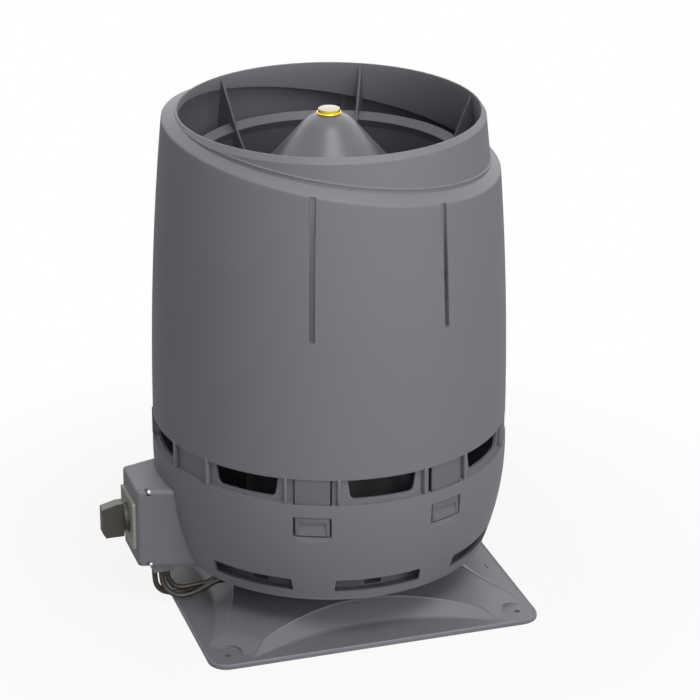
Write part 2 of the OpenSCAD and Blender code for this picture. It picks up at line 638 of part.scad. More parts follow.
// Hood shell: slightly barrelled wall, slanted shoulder, grooves, and ribs that stand over the ledge
module hood_2d(inset = 0) intersection() {
  translate([hood_r0 - hood_curve_r, hood_z0]) circle(hood_curve_r - inset, $fn = 6000);
  translate([0, hood_z0]) square([hood_r0 + 5, 340]);
}
module shoulder(drop = 0) {
  k = tan(band_deg);
  slanted(drop) rotate_extrude($fn = 180) polygon([[0, -500], [400, -500], [400, -tan(60) * (400 - band_r)],
    [band_r + 1.2, -1.2 * k], [band_r - 44, 44 * k], [0, 44 * k]]);
}
module hood_wall_solid() difference() {
  intersection() {
    rotate_extrude($fn = 180) hood_2d();
    shoulder();
  }
  intersection() {
    translate([0, 0, -1]) rotate_extrude($fn = 180) hood_2d(hood_wall);
    shoulder(hood_wall + 0.5);
  }
  translate([0, 0, rim_z - slot_l]) cylinder(r1 = rim_r + collar_taper * slot_l + fit, r2 = rim_r + fit,
    h = slot_l, $fn = 180);
  translate([0, 0, rim_z - eps]) cylinder(r = body_r, h = 60);
}
module hood_shell() {
  color(shell_grey) difference() {
    union() {
      hood_wall_solid();
      ring_of(8, step_deg / 2) for (s = [-1, 1]) intersection() {
        translate([s * rib_off - rib_w / 2, -rib_out_r, ledge_z + free]) cube([rib_w, 9, slot_open_h + 3]);
        difference() {
          cylinder(r = rib_out_r, h = 300, $fn = 180);
          cylinder(r = hood_r0 - hood_wall + 0.1, h = 300, $fn = 180);
        }
      }
    }
    for (a = latch_angles) at_angle(a) rotate([90, 0, 90]) translate([0, 0, -groove_w / 2])
      linear_extrude(groove_w)
      polygon([[-hood_r0 - 5, groove_z], [-167.4 - hood_r0 + 172.2, groove_z], [-159.2 - hood_r0 + 172.2,
        groove_z + 143],
        [-hood_r0 - 5, groove_z + 143]]);
  }
}

// Outlet collar: tapered tube with a foot flange under the shoulder
module outlet_cone(inset, over = 0) translate([0, 0, rim_z - collar_l])
  cylinder(r1 = rim_r - inset + collar_l * collar_taper, r2 = rim_r - inset - over * collar_taper,
    h = collar_l + over, $fn = 180);
module outlet_collar() {
  color(shell_grey) difference() {
    union() {
      difference() {
        outlet_cone(0);
        slanted() translate([0, 0, -200]) cylinder(r = 300, h = 200);
      }
      intersection() {
        difference() {
          shoulder(hood_wall + 0.6);
          shoulder(hood_wall + 3);
        }
        slanted() translate([0, 0, -4]) cylinder(r = band_r - 4, h = 12);
        translate([0, 0, rim_z - collar_l]) cylinder(r = band_r - 5.5, h = collar_l);
      }
    }
    outlet_cone(outlet_wall, 0.2);
    rotate_extrude($fn = 180) polygon([[rim_r - 1.5, rim_z + 1], [rim_r - 1.5, rim_z], [rim_r + 0.8,
      rim_z - 6], [rim_r + 5, rim_z - 6], [rim_r + 5, rim_z + 1]]);
  }
}

// Nozzle with its six guide fins, which carry the motor
module fin_2d() {
  out = rim_r - outlet_wall - 0.2;
  polygon([[carrier_r + 0.1, carrier_z - carrier_t], [carrier_r + 0.1, carrier_z + 8], [carrier_r + 10,
    carrier_z + 30],
    [nozzle_in_r - 3, nozzle_z - 0.6], [out, rim_z - 3], [out + 3 * collar_taper, rim_z - 6],
      [out + 40 * collar_taper, rim_z - 43],
    [out + 40 * collar_taper, rim_z - 62], [nozzle_r + 6, carrier_z + 16], [nozzle_r - 1, carrier_z + 10],
    [nozzle_r - 1, carrier_z - carrier_t]]);
}
module nozzle_duct() {
  color([0.3, 0.3, 0.32]) difference() {
    union() {
      rotate_extrude($fn = 180) polygon([[nozzle_in_r, noz_floor_z + noz_floor_t], [noz_flange_r,
        noz_floor_z + noz_floor_t],
        [noz_flange_r, noz_floor_z + noz_floor_t + 3], [nozzle_r, noz_floor_z + noz_floor_t + 3],
          [nozzle_r, nozzle_z - 14],
        [nozzle_r + 3, nozzle_z - 1.2], [nozzle_r + 3, nozzle_z], [nozzle_r + 2, nozzle_z],
          [nozzle_in_r - 2, nozzle_z - 6.6],
        [nozzle_in_r, nozzle_z - 14]]);
      ring_of(6, 30) rotate([90, 0, -90]) translate([0, 0, -fin_t / 2]) linear_extrude(fin_t) fin_2d();
    }
    ring_of(6) translate([0, -nozzle_r - 4, noz_floor_z]) cylinder(r = 1.6, h = 8, $fn = 24);
    intersection() {
      slanted(hood_wall + 2.7) translate([0, 0, -1]) cylinder(r = 300, h = 9);
      difference() {
        cylinder(r = 300, h = 600);
        outlet_cone(outlet_wall + 0.1, 0.1);
      }
    }
  }
}
module nozzle_floor() {
  color([0.3, 0.3, 0.32]) difference() {
    rotate_extrude() polygon([[riser_up_r + 2.4, noz_floor_z - sleeve_l], [riser_up_r + 4.9,
      noz_floor_z - sleeve_l],
      [riser_up_r + 4.9, noz_floor_z], [noz_flange_r, noz_floor_z], [noz_flange_r, noz_floor_z + noz_floor_t],
      [riser_up_r + floor_gap, noz_floor_z + noz_floor_t], [riser_up_r + floor_gap, noz_floor_z - 2],
        [riser_up_r + 2.4, noz_floor_z - 6]]);
    ring_of(6) translate([0, -nozzle_r - 4, noz_floor_z - 1]) cylinder(r = 1.6, h = 8, $fn = 24);
    translate([lead_route[0][0], 0, noz_floor_z - 1]) cylinder(r = 2.8, h = 8, $fn = 24);
  }
}
module floor_screws() color([0.75, 0.76, 0.78])
  ring_of(6) translate([0, -nozzle_r - 4, noz_floor_z]) rotate([180, 0, 0]) screw(floor_screw);
module duct_seal() {
  lips = [for (i = [0 : 4]) [riser_up_r + (i % 2 == 0 ? free : free + 1.1),
    noz_floor_z - (8 - i) * seal_lip]];
  color([0.07, 0.07, 0.07]) rotate_extrude() polygon(concat([[riser_up_r + seal_out, lips[0][1] - 2]], lips,
    [[riser_up_r + seal_out, lips[4][1] + 2]]));
}

// Bell-mouth that leads the air into the impeller
module inlet_nozzle() {
  cx = throat_r + bell_r;
  z0 = noz_floor_z + noz_floor_t;
  color([0.62, 0.63, 0.65]) rotate_extrude() {
    intersection() {
      translate([cx, z0 + bell_r]) difference() {
        circle(bell_r, $fn = 96);
        circle(bell_r - 2, $fn = 96);
      }
      translate([cx - bell_r, z0]) square([bell_r, bell_r]);
    }
    translate([cx - 0.5, z0 + seat_step]) square([8.5, 2 - seat_step]);
    translate([throat_r, z0 + bell_r - 0.5]) square([2, 5.5]);
  }
}

// Motor parts held by the carrier
module motor_carrier() {
  color([0.66, 0.67, 0.69]) difference() {
    union() {
      translate([0, 0, carrier_z - carrier_t]) cylinder(r = carrier_r, h = carrier_t);
      translate([0, 0, carrier_z - 0.1]) difference() {
        cylinder(r = cone_r - 3, h = 8.1);
        translate([0, 0, -1]) cylinder(r = cone_r - 5.5, h = 12);
      }
    }
    ring_of(4, 45) translate([0, -stator_flange_r + 8, carrier_z - carrier_t - 1]) cylinder(r = 2.1, h = 8,
      $fn = 32);
    translate([0, 0, carrier_z - carrier_t - 1]) cylinder(r = 12, h = 8);
    ring_of(6, 0) translate([0, -cone_r + 22, carrier_z - carrier_t - 1]) cylinder(r = 10, h = 8);
  }
}
module motor_stator() {
  z1 = carrier_z - carrier_t;
  z0 = back_z + 14;
  color([0.55, 0.56, 0.58]) difference() {
    union() {
      translate([0, 0, z1 - stator_flange_t]) cylinder(r = stator_flange_r, h = stator_flange_t);
      translate([0, 0, z0]) cylinder(r = bearing_r + 4, h = z1 - z0);
      translate([0, 0, z0 + 3]) cylinder(r = rotor_r - 6, h = rotor_h - 20);
    }
    translate([0, 0, z0 - 1]) cylinder(r = bearing_r, h = z1 - z0 + 2);
    ring_of(4, 45) translate([0, -stator_flange_r + 8, z1 - stator_flange_t - 1]) cylinder(r = 1.7, h = 8,
      $fn = 32);
  }
}
module motor_bearings() color([0.8, 0.81, 0.82])
  for (z = [back_z + 15, carrier_z - carrier_t - stator_flange_t - 6]) translate([0, 0, z]) difference() {
    cylinder(r = bearing_r - 0.02, h = bearing_w);
    translate([0, 0, -1]) cylinder(r = shaft_r + 0.05, h = bearing_w + 2);
    for (q = [-1, bearing_w - 0.8]) translate([0, 0, q]) difference() {
      cylinder(r = bearing_r - 2.5, h = 1.8);
      translate([0, 0, -1]) cylinder(r = shaft_r + 2.5, h = 4);
    }
  }
module motor_screws() color([0.75, 0.76, 0.78])
  ring_of(4, 45) translate([0, -stator_flange_r + 8, carrier_z]) screw(motor_screw);

// Cone cover over the motor, with the round bubble level in its nose
module cone_2d(inset = 0) {
  s = cone_slope_sum - inset * sqrt(2);
  r = cone_r - inset;
  t = (nose_r - inset) / sqrt(2);
  polygon([[0, carrier_z], [r, carrier_z], [r, s - r - 4], [r - 1.6, s - r + 1.6], [t, nose_c + t], [0,
    nose_c + t]]);
  intersection() {
    translate([0, nose_c]) circle(nose_r - inset, $fn = 180);
    translate([0, carrier_z]) square([nose_r, 200]);
  }
}
module cone_cover() {
  top = nose_c + nose_r - 1.8;
  color([0.33, 0.33, 0.35]) difference() {
    rotate_extrude($fn = 180) difference() {
      cone_2d();
      difference() {
        translate([0, -0.01]) cone_2d(2.5);
        translate([-1, top - 8]) square([level_r + 4, 20]);
      }
      translate([-1, top]) square([60, 20]);
    }
    translate([0, 0, top - 4]) cylinder(r = level_r - 1 + fit, h = 6);
  }
}
module level_cup() {
  top = nose_c + nose_r - 1.8;
  color([0.72, 0.56, 0.2]) rotate_extrude() difference() {
    union() {
      translate([0, top - 3.9]) square([level_r - 1, 4.5]);
      translate([0, top + 0.1]) square([level_r, 2.2]);
    }
    translate([-1, top - 2.4]) square([level_r - 1, 8]);
  }
}
module level_fluid() {
  top = nose_c + nose_r - 1.8;
  color([0.9, 0.88, 0.05]) translate([0, 0, top - 2.3]) cylinder(r = level_r - 2.1, h = 5.2);
}
module level_lens() {
  top = nose_c + nose_r - 1.8;
  color([0.93, 0.85, 0.7]) rotate_extrude() intersection() {
    translate([0, top + 3]) square([level_r - 1.6, 6]);
    translate([0, top + 5.1 - 30]) circle(30, $fn = 360);
  }
}

// Impeller: back plate, hub and backward-curved blades, closed by the shroud
module impeller() {
  eye_z = noz_floor_z + noz_floor_t + bell_r + 5;
  color([0.22, 0.23, 0.25]) {
    difference() {
      translate([0, 0, back_z]) cylinder(r = impeller_r, h = 2.5);
      translate([0, 0, back_z - 1]) cylinder(r = 16, h = 5);
      ring_of(4) translate([0, -rotor_r + 14, back_z - 1]) cylinder(r = 2.1, h = 5, $fn = 32);
    }
    ring_of(blade_count) intersection() {
      translate([0, 0, eye_z - 4]) linear_extrude(back_z - eye_z + 4.2) intersection() {
        translate([5, 50]) difference() {
          circle(norm([impeller_r / 2, 50]), $fn = 180);
          circle(norm([impeller_r / 2, 50]) - 2.2, $fn = 180);
        }
        difference() {
          circle(impeller_r - 0.3);
          circle(impeller_r * 0.55);
        }
        polygon([[0, 0], [140, -29], [140, 157]]);
      }
      rotate_extrude() polygon([[impeller_r * 0.5, eye_z + 4], [throat_r + 5.2, eye_z + 4],
        [impeller_r + 1, eye_z + 20.6],
        [impeller_r + 1, back_z + 0.1], [impeller_r * 0.5, back_z + 0.1]]);
    }
  }
}
module impeller_shroud() {
  eye_z = noz_floor_z + noz_floor_t + bell_r + 5;
  a = throat_r + 3.2;
  color([0.22, 0.23, 0.25]) rotate_extrude() polygon([[a, eye_z - 7], [a + 2, eye_z - 7], [a + 2,
    eye_z + 1.5],
    [impeller_r, eye_z + 1.5 + shroud_rise], [impeller_r, eye_z + 1.5 + shroud_rise + shroud_t],
    [a + 2, eye_z + 1.5 + shroud_t], [a, eye_z + 1.5 + shroud_t]]);
}
module rotor_can() {
  z0 = back_z + 2.5;
  color([0.5, 0.51, 0.53]) difference() {
    translate([0, 0, z0]) cylinder(r = rotor_r, h = rotor_h);
    translate([0, 0, z0 + 4]) cylinder(r = rotor_r - 3, h = rotor_h);
    translate([0, 0, z0 - 1]) cylinder(r = shaft_r + 0.02, h = 8);
    ring_of(4) translate([0, -rotor_r + 14, z0 - 1]) cylinder(r = 1.6, h = 4, $fn = 32);
  }
}
module motor_shaft() color([0.8, 0.81, 0.82]) translate([0, 0, back_z + 1])
  cylinder(r = shaft_r, h = carrier_z - carrier_t - back_z - 1);
module impeller_screws() color([0.75, 0.76, 0.78])
  ring_of(4) translate([0, -rotor_r + 14, back_z]) rotate([180, 0, 0]) screw(impeller_screw);

// A latch: a sprung tongue that hangs from the hood's edge, with a push button at its end
module latch(a) {
  h = hood_z0 - 0.4 - button_z;
  color([0.4, 0.4, 0.43]) at_angle(a) difference() {
    intersection() {
      translate([-latch_w / 2, -body_r, button_z]) cube([latch_w, 8, h]);
      translate([0, 0, button_z]) difference() {
        cylinder(r = latch_out_r, h = h, $fn = 180);
        translate([0, 0, -1]) cylinder(r = latch_in_r, h = h + 2, $fn = 180);
      }
    }
    translate([0, -latch_out_r + 1, button_z - 1]) rotate([90, 0, 0]) linear_extrude(8) {
      translate([-latch_w * 0.39, 0]) square([latch_w * 0.78, 8]);
      intersection() {
        translate([0, 8]) circle(latch_w * 0.39, $fn = 64);
        translate([-latch_w, 0]) square([2 * latch_w, 14]);
      }
    }
  }
}
module latch_front_right() latch(latch_angles[0]);
module latch_back_right() latch(latch_angles[1]);
module latch_back_left() latch(latch_angles[2]);
module latch_front_left() latch(latch_angles[3]);

base_plate();
base_seal();
inlet_riser();
lower_body();
body_screws();
terminal_block();
cable_grommet();
supply_cable_1();
supply_cable_2();
motor_cable();
connector_socket();
box_rear();
box_cover();
switch_bezel();
switch_block();
box_screws();
gland_block();
switch_knob();
switch_shaft();
hood_shell();
outlet_collar();
nozzle_duct();
nozzle_floor();
floor_screws();
duct_seal();
inlet_nozzle();
connector_plug();
motor_lead();
motor_carrier();
motor_stator();
motor_bearings();
motor_screws();
cone_cover();
level_cup();
level_fluid();
level_lens();
impeller();
impeller_shroud();
rotor_can();
motor_shaft();
impeller_screws();
latch_front_right();
latch_back_right();
latch_back_left();
latch_front_left();
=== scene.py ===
import math

import bmesh
import bpy
from mathutils import Matrix, Vector


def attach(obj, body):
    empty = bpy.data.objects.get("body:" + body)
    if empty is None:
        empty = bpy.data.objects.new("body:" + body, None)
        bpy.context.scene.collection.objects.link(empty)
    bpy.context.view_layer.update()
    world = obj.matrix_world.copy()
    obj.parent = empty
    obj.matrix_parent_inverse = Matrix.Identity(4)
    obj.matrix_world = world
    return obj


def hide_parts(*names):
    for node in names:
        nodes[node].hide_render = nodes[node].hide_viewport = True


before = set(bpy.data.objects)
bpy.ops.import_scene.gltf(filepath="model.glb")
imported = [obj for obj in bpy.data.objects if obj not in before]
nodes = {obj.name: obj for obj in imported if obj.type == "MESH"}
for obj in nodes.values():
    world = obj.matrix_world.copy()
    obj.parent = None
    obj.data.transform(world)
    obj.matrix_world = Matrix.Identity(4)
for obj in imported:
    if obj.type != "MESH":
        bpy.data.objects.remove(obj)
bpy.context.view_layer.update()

# The object's sizes and places below are in mm, in the frame's axes, and MM makes them metres.
# The studio's are in metres.
MM = 0.001

# Camera: a long lens a little left of the front and well above the rim, so that the outlet
# is seen into. The fan's axis stands slightly left of the picture's middle.
CAMERA_TURN = math.radians(-17.3)
CAMERA_RISE = math.radians(23.37)
CAMERA_TARGET = Vector((0, 0, 230 * MM))
CAMERA_DISTANCE = 2.634
CAMERA_LENS = 139.35
CAMERA_SHIFT = (0.0300, 0.0137)

camera = bpy.data.objects.new("camera", bpy.data.cameras.new("camera"))
bpy.context.scene.collection.objects.link(camera)
towards = Vector((
    math.sin(CAMERA_TURN) * math.cos(CAMERA_RISE),
    -math.cos(CAMERA_TURN) * math.cos(CAMERA_RISE),
    math.sin(CAMERA_RISE),
))
camera.location = CAMERA_TARGET + towards * CAMERA_DISTANCE
camera.rotation_euler = (-towards).to_track_quat("-Z", "Y").to_euler()
camera.data.lens = CAMERA_LENS
camera.data.shift_x, camera.data.shift_y = CAMERA_SHIFT
bpy.context.scene.camera = camera
bpy.context.scene.view_settings.view_transform = "Standard"

# Studio: a large soft lamp high in front, a second at the right and a weak one low in front,
# with nothing at the left, which falls off. Upward faces mirror a bright backdrop.
LAMPS = {
    "key_lamp": ((0.0, -1.5, 2.828), 1.5, 40),
    "right_lamp": ((1.4095, -2.4414, 1.256), 1.5, 21),
    "low_lamp": ((-0.4895, -2.7762, 1.256), 1.5, 13),
}
MIRRORED_LIGHT = 2.4
FLOOR_HALF = 15.0
FLOOR_GLOW = 0.9
SHADOW_REACH = (0.25, 0.6)


def linear(code):
    """An sRGB hex colour as linear red, green, blue and full alpha."""
    parts = [int(code[i:i + 2], 16) / 255 for i in (1, 3, 5)]
    return [c / 12.92 if c <= 0.04045 else ((c + 0.055) / 1.055) ** 2.4 for c in parts] + [1.0]


def add(tree, kind, inputs=None, **settings):
    """One node with its settings, each input a value or the output that feeds it."""
    made = tree.nodes.new(kind)
    for name, value in settings.items():
        setattr(made, name, value)
    for key, value in (inputs or {}).items():
        if isinstance(value, bpy.types.NodeSocket):
            tree.links.new(value, made.inputs[key])
        else:
            made.inputs[key].default_value = value
    return made


for lamp_name, (place, size, power) in LAMPS.items():
    lamp = bpy.data.objects.new(lamp_name, bpy.data.lights.new(lamp_name, "AREA"))
    lamp.data.size = size
    lamp.data.energy = power
    lamp.location = place
    lamp.rotation_euler = (CAMERA_TARGET - lamp.location).to_track_quat("-Z", "Y").to_euler()
    bpy.context.scene.collection.objects.link(lamp)

world = bpy.data.worlds.new("studio")
bpy.context.scene.world = world
world.use_nodes = True
sky = world.node_tree
sky.nodes.clear()
ray = add(sky, "ShaderNodeLightPath")
level = add(sky, "ShaderNodeMath", {0: ray.outputs["Is Glossy Ray"], 1: MIRRORED_LIGHT,
                                    2: ray.outputs["Is Camera Ray"]}, operation="MULTIPLY_ADD")
glow = add(sky, "ShaderNodeBackground", {"Color": linear("#ffffff"), "Strength": level.outputs[0]})
add(sky, "ShaderNodeOutputWorld", {"Surface": glow.outputs[0]})

floor_paint = bpy.data.materials.new("white_backdrop")
floor_paint.use_nodes = True
card = floor_paint.node_tree
card.nodes.clear()
ray = add(card, "ShaderNodeLightPath")
place = add(card, "ShaderNodeTexCoord")
away = add(card, "ShaderNodeVectorMath", {0: place.outputs["Object"]}, operation="LENGTH")
glow_share = add(card, "ShaderNodeMapRange", {
    "Value": away.outputs["Value"],
    "From Min": SHADOW_REACH[0],
    "From Max": SHADOW_REACH[1],
    "To Min": FLOOR_GLOW,
    "To Max": 1.0,
})
matt = add(card, "ShaderNodeBsdfDiffuse", {"Color": linear("#f2f2f2")})
glow = add(card, "ShaderNodeEmission", {"Color": linear("#ffffff"), "Strength": 1.0})
share = add(card, "ShaderNodeMath", {0: ray.outputs["Is Camera Ray"], 1: glow_share.outputs[0]},
            operation="MULTIPLY")
both = add(card, "ShaderNodeMixShader", {0: share.outputs[0], 1: matt.outputs[0], 2: glow.outputs[0]})
add(card, "ShaderNodeOutputMaterial", {"Surface": both.outputs[0]})
floor_mesh = bpy.data.meshes.new("floor")
floor_mesh.from_pydata([(x * FLOOR_HALF, y * FLOOR_HALF, 0) for x, y in ((-1, -1), (1, -1), (1, 1), (-1, 1))],
                       [], [(0, 1, 2, 3)])
floor_mesh.materials.append(floor_paint)
floor = bpy.data.objects.new("floor", floor_mesh)
bpy.context.scene.collection.objects.link(floor)

# Base plate: the square roof plate, moulded in dark grey weatherproof plastic. A vaulted
# crown with a ridge to each corner rises to the collar. Each corner of the flange has a
# pocket with a hole for a roof screw.
BASE_HALF = 165.0
BASE_CORNER = 18.0
BASE_HOLE = 83.3
BASE_WALL = 3.0
COLLAR_R = 104.0
COLLAR_TOP = 49.0
COLLAR_WALL = 4.0
FLANGE = 5.0
# Radius, height and slope of each stretch of the crown.
CROWN_LINES = ((104, 22, 0), (106, 22, -0.125), (178, 13, -0.348))
LUNETTE_AT = 379.0
LUNETTE_R = 252.0
LUNETTE_RISE = 17 / 21.5
RIDGE_BEAD = 0.5
FOOT_BEAD = 0.3
EDGE_BEAD = 0.35
SCREW_AT = 146.0
POCKET_R = 15.0
ROOF_HOLE_R = 2.75
POCKET_TOP = 30.0
# Pairs of small pilot holes: their distance out, the pair's along the side, half their gap.
PILOT_AT = (150.0, 49.0, 2.5)
PILOT_R = 1.1
PILOT_DEPTH = 1.5
GROMMET_ANGLE = -72
GROMMET_Z = 31.0
GROMMET_HOLE_R = 11.65
CABLE_UP_R = 90.5
CABLE_HOLE_R = 4.5
BASE_COLUMNS = 480


def moulded(name, colour, roughness=0.55, grain=0.9, depth=0.05, edge=0.5):
    """Injection-moulded plastic: an eroded, slightly uneven skin over softly rounded edges.
    Grain, its depth and the edge's radius are in mm; the real grain is finer and wouldn't show."""
    paint = bpy.data.materials.new(name)
    paint.use_nodes = True
    tree = paint.node_tree
    tree.nodes.clear()
    place = add(tree, "ShaderNodeTexCoord")
    clouds = add(tree, "ShaderNodeTexNoise", {"Vector": place.outputs["Object"], "Scale": 9.0, "Detail": 3.0})
    tint = add(tree, "ShaderNodeMapRange", {"Value": clouds.outputs["Fac"], "To Min": 0.96, "To Max": 1.04})
    tone = add(tree, "ShaderNodeHueSaturation", {"Color": linear(colour), "Value": tint.outputs[0]})
    texture = add(tree, "ShaderNodeTexNoise",
                  {"Vector": place.outputs["Object"], "Scale": 1 / (grain * MM), "Detail": 2.0})
    rough = add(tree, "ShaderNodeMapRange", {
        "Value": texture.outputs["Fac"],
        "To Min": roughness - 0.06,
        "To Max": roughness + 0.06,
    })
    rounded = add(tree, "ShaderNodeBevel", {"Radius": edge * MM}, samples=4)
    bump = add(tree, "ShaderNodeBump", {
        "Height": texture.outputs["Fac"],
        "Distance": depth * MM,
        "Strength": 1.0,
        "Normal": rounded.outputs[0],
    })
    skin = add(tree, "ShaderNodeBsdfPrincipled", {
        "Base Color": tone.outputs[0],
        "Roughness": rough.outputs[0],
        "IOR": 1.5,
        "Normal": bump.outputs[0],
    })
    add(tree, "ShaderNodeOutputMaterial", {"Surface": skin.outputs[0]})
    return paint


def piece_of(name, mesh, paint, crease=40):
    """A mesh as a smooth-shaded object of one material, sharp only at edges past the crease."""
    work = bmesh.new()
    work.from_mesh(mesh)
    bmesh.ops.remove_doubles(work, verts=work.verts, dist=1e-6)
    bmesh.ops.recalc_face_normals(work, faces=work.faces)
    work.to_mesh(mesh)
    work.free()
    mesh.polygons.foreach_set("use_smooth", [True] * len(mesh.polygons))
    mesh.set_sharp_from_angle(angle=math.radians(crease))
    mesh.materials.clear()
    mesh.materials.append(paint)
    piece = bpy.data.objects.new(name, mesh)
    bpy.context.scene.collection.objects.link(piece)
    return piece


def swept(name, section, angles):
    """A closed shell: section(angle) gives the same count of (r, z) points in mm at every
    angle, counted from the front towards +X, and the loops are joined round the axis."""
    points = []
    for angle in angles:
        s, c = math.sin(math.radians(angle)), math.cos(math.radians(angle))
        loop = section(angle)
        points += [(r * s * MM, -r * c * MM, z * MM) for r, z in loop]
    count, turns = len(loop), len(angles)
    faces = []
    for i in range(turns):
        j = (i + 1) % turns
        for k in range(count):
            m = (k + 1) % count
            faces.append((i * count + k, i * count + m, j * count + m, j * count + k))
    mesh = bpy.data.meshes.new(name)
    mesh.from_pydata(points, [], faces)
    return mesh


def drill(cutters, start, end, radius, sides=48):
    """Add a closed cylinder between two points, in mm, to the cutters."""
    start, end = Vector(start) * MM, Vector(end) * MM
    turn = (end - start).to_track_quat("Z", "Y").to_matrix().to_4x4()
    bmesh.ops.create_cone(cutters, cap_ends=True, segments=sides, radius1=radius * MM, radius2=radius * MM,
                          depth=(end - start).length, matrix=Matrix.Translation((start + end) / 2) @ turn)


def cut_away(mesh, cutters):
    """The mesh less the cutters."""
    work = bmesh.new()
    work.from_mesh(mesh)
    bmesh.ops.remove_doubles(work, verts=work.verts, dist=1e-6)
    bmesh.ops.recalc_face_normals(work, faces=work.faces)
    work.to_mesh(mesh)
    work.free()
    tool = bpy.data.meshes.new("cutters")
    cutters.to_mesh(tool)
    cutters.free()
    block = bpy.data.objects.new("block", mesh)
    knife = bpy.data.objects.new("knife", tool)
    for o in (block, knife):
        bpy.context.scene.collection.objects.link(o)
    step = block.modifiers.new("cut", "BOOLEAN")
    step.operation = "DIFFERENCE"
    step.solver = "EXACT"
    step.use_self = True
    step.object = knife
    result = bpy.data.meshes.new_from_object(block.evaluated_get(bpy.context.evaluated_depsgraph_get()))
    bpy.data.objects.remove(block)
    bpy.data.objects.remove(knife)
    return result


def soft_min(a, b, k):
    """The smaller of two values, with the change from one to the other rounded over k."""
    h = max(k - abs(a - b), 0) / k
    return min(a, b) - h * h * k / 4


def plate_edge(angle):
    """Distance from the axis to the square's edge, its corners rounded."""
    c = abs(math.cos(math.radians(angle)))
    s = abs(math.sin(math.radians(angle)))
    inner = BASE_HALF - BASE_CORNER
    flat = BASE_HALF / max(c, s)
    if flat * min(c, s) <= inner:
        return flat
    d = inner * (c + s)
    return d + math.sqrt(d * d - 2 * inner * inner + BASE_CORNER ** 2)


def crown_line(r):
    """The crown's height along a ridge, before the lunettes are cut into its sides."""
    z = CROWN_LINES[0][1]
    for start, height, slope in CROWN_LINES[1:]:
        z = soft_min(z, height + slope * (r - start), 0.8)
    return z


def lunette_z(r, angle):
    """The inclined face over each side of the plate, cut as a cone round a far centre."""
    x, y = abs(r * math.sin(math.radians(angle))), abs(r * math.cos(math.radians(angle)))
    away = min(math.hypot(x - LUNETTE_AT, y), math.hypot(x, y - LUNETTE_AT))
    return FLANGE + (away - LUNETTE_R) * LUNETTE_RISE


def crossing(falls, low, high):
    """The radius between low and high where falls(r) passes zero."""
    for _ in range(30):
        middle = (low + high) / 2
        if falls(middle) > 0:
            low = middle
        else:
            high = middle
    return low


def crown_z(r, angle):
    """The plate's top face: crown, lunettes and flat flange."""
    return max(FLANGE, min(crown_line(r), lunette_z(r, angle)))


def base_section(angle):
    """The plate's outline at an angle. Rows lie along both ridges, so that they stay crisp."""
    edge = plate_edge(angle)
    first, last = COLLAR_R + 1.2, edge - 2.4
    foot = crossing(lambda r: crown_z(r, angle) - FLANGE - 1e-6, first, last)
    ridge = min(foot, crossing(lambda r: lunette_z(r, angle) - crown_line(r), first, foot + 0.01))
    share = min(1, max(0, (foot - ridge - 1) / 8))
    rows = [first + (ridge - 1 - first) * k / 20 for k in range(20)]
    rows += [ridge + k * 0.25 for k in range(-4, 5)]
    rows += [ridge + 1 + (foot - ridge - 2) * k / 16 for k in range(1, 16)]
    rows += [foot + k * 0.25 for k in range(-4, 5)]
    rows += [foot + 1 + (last - foot - 1) * k / 16 for k in range(1, 17)]
    out = [(BASE_HOLE, COLLAR_TOP), (COLLAR_R - 0.8, COLLAR_TOP), (COLLAR_R - 0.2, COLLAR_TOP - 0.2),
           (COLLAR_R, COLLAR_TOP - 0.8), (COLLAR_R, 36), (COLLAR_R, crown_z(COLLAR_R, angle) + 1.2),
           (COLLAR_R + 0.4, crown_z(COLLAR_R, angle) + 0.4)]
    reached = COLLAR_R + 0.5
    for r in rows:
        reached = max(r, reached + 0.01)
        z = crown_z(reached, angle) + share * RIDGE_BEAD * max(0, 1 - (reached - ridge) ** 2)
        out.append((reached, z + FOOT_BEAD * max(0, 1 - (reached - foot) ** 2)))
    out += [(edge - 2.0, FLANGE + EDGE_BEAD * 0.7), (edge - 1.5, FLANGE + EDGE_BEAD), (edge - 0.9, FLANGE),
            (edge - 0.25, FLANGE - 0.7), (edge, FLANGE - 1.5), (edge, 0.6), (edge - 0.6, 0)]
    for k in range(28, 0, -1):
        r = first + (last - first) * k / 29
        out.append((r, max(0, min(crown_z(r, angle) - BASE_WALL, (crown_z(r, angle) - FLANGE - 1) * 2.5))))
    under = crown_z(COLLAR_R, angle) - BASE_WALL
    out += [(COLLAR_R, under), (COLLAR_R, 0), (COLLAR_R - COLLAR_WALL, 0),
            (COLLAR_R - COLLAR_WALL, COLLAR_TOP - COLLAR_WALL), (BASE_HOLE, COLLAR_TOP - COLLAR_WALL)]
    return out


base_plastic = moulded("weathered_asa", "#78777e")
mesh = swept("base", base_section, [k * 360 / BASE_COLUMNS for k in range(BASE_COLUMNS)])
cutters = bmesh.new()
for x in (-SCREW_AT, SCREW_AT):
    for y in (-SCREW_AT, SCREW_AT):
        drill(cutters, (x, y, FLANGE), (x, y, POCKET_TOP), POCKET_R, 72)
        drill(cutters, (x, y, -2), (x, y, FLANGE + 1), ROOF_HOLE_R, 40)
out_by, along_by, apart = PILOT_AT
for side in range(4):
    turn = Matrix.Rotation(math.radians(90 * side), 3, "Z")
    for shift in (-along_by - apart, -along_by + apart, along_by - apart, along_by + apart):
        low = turn @ Vector((shift, -out_by, FLANGE - PILOT_DEPTH))
        high = turn @ Vector((shift, -out_by, FLANGE + 2))
        drill(cutters, low, high, PILOT_R, 20)
turn = Matrix.Rotation(math.radians(GROMMET_ANGLE), 3, "Z")
inside = turn @ Vector((0, -COLLAR_R + 8, GROMMET_Z))
outside = turn @ Vector((0, -COLLAR_R - 4, GROMMET_Z))
drill(cutters, inside, outside, GROMMET_HOLE_R)
drill(cutters, (-CABLE_UP_R, 0, COLLAR_TOP - 8), (-CABLE_UP_R, 0, COLLAR_TOP + 4), CABLE_HOLE_R)
base = piece_of("base", cut_away(mesh, cutters), base_plastic)
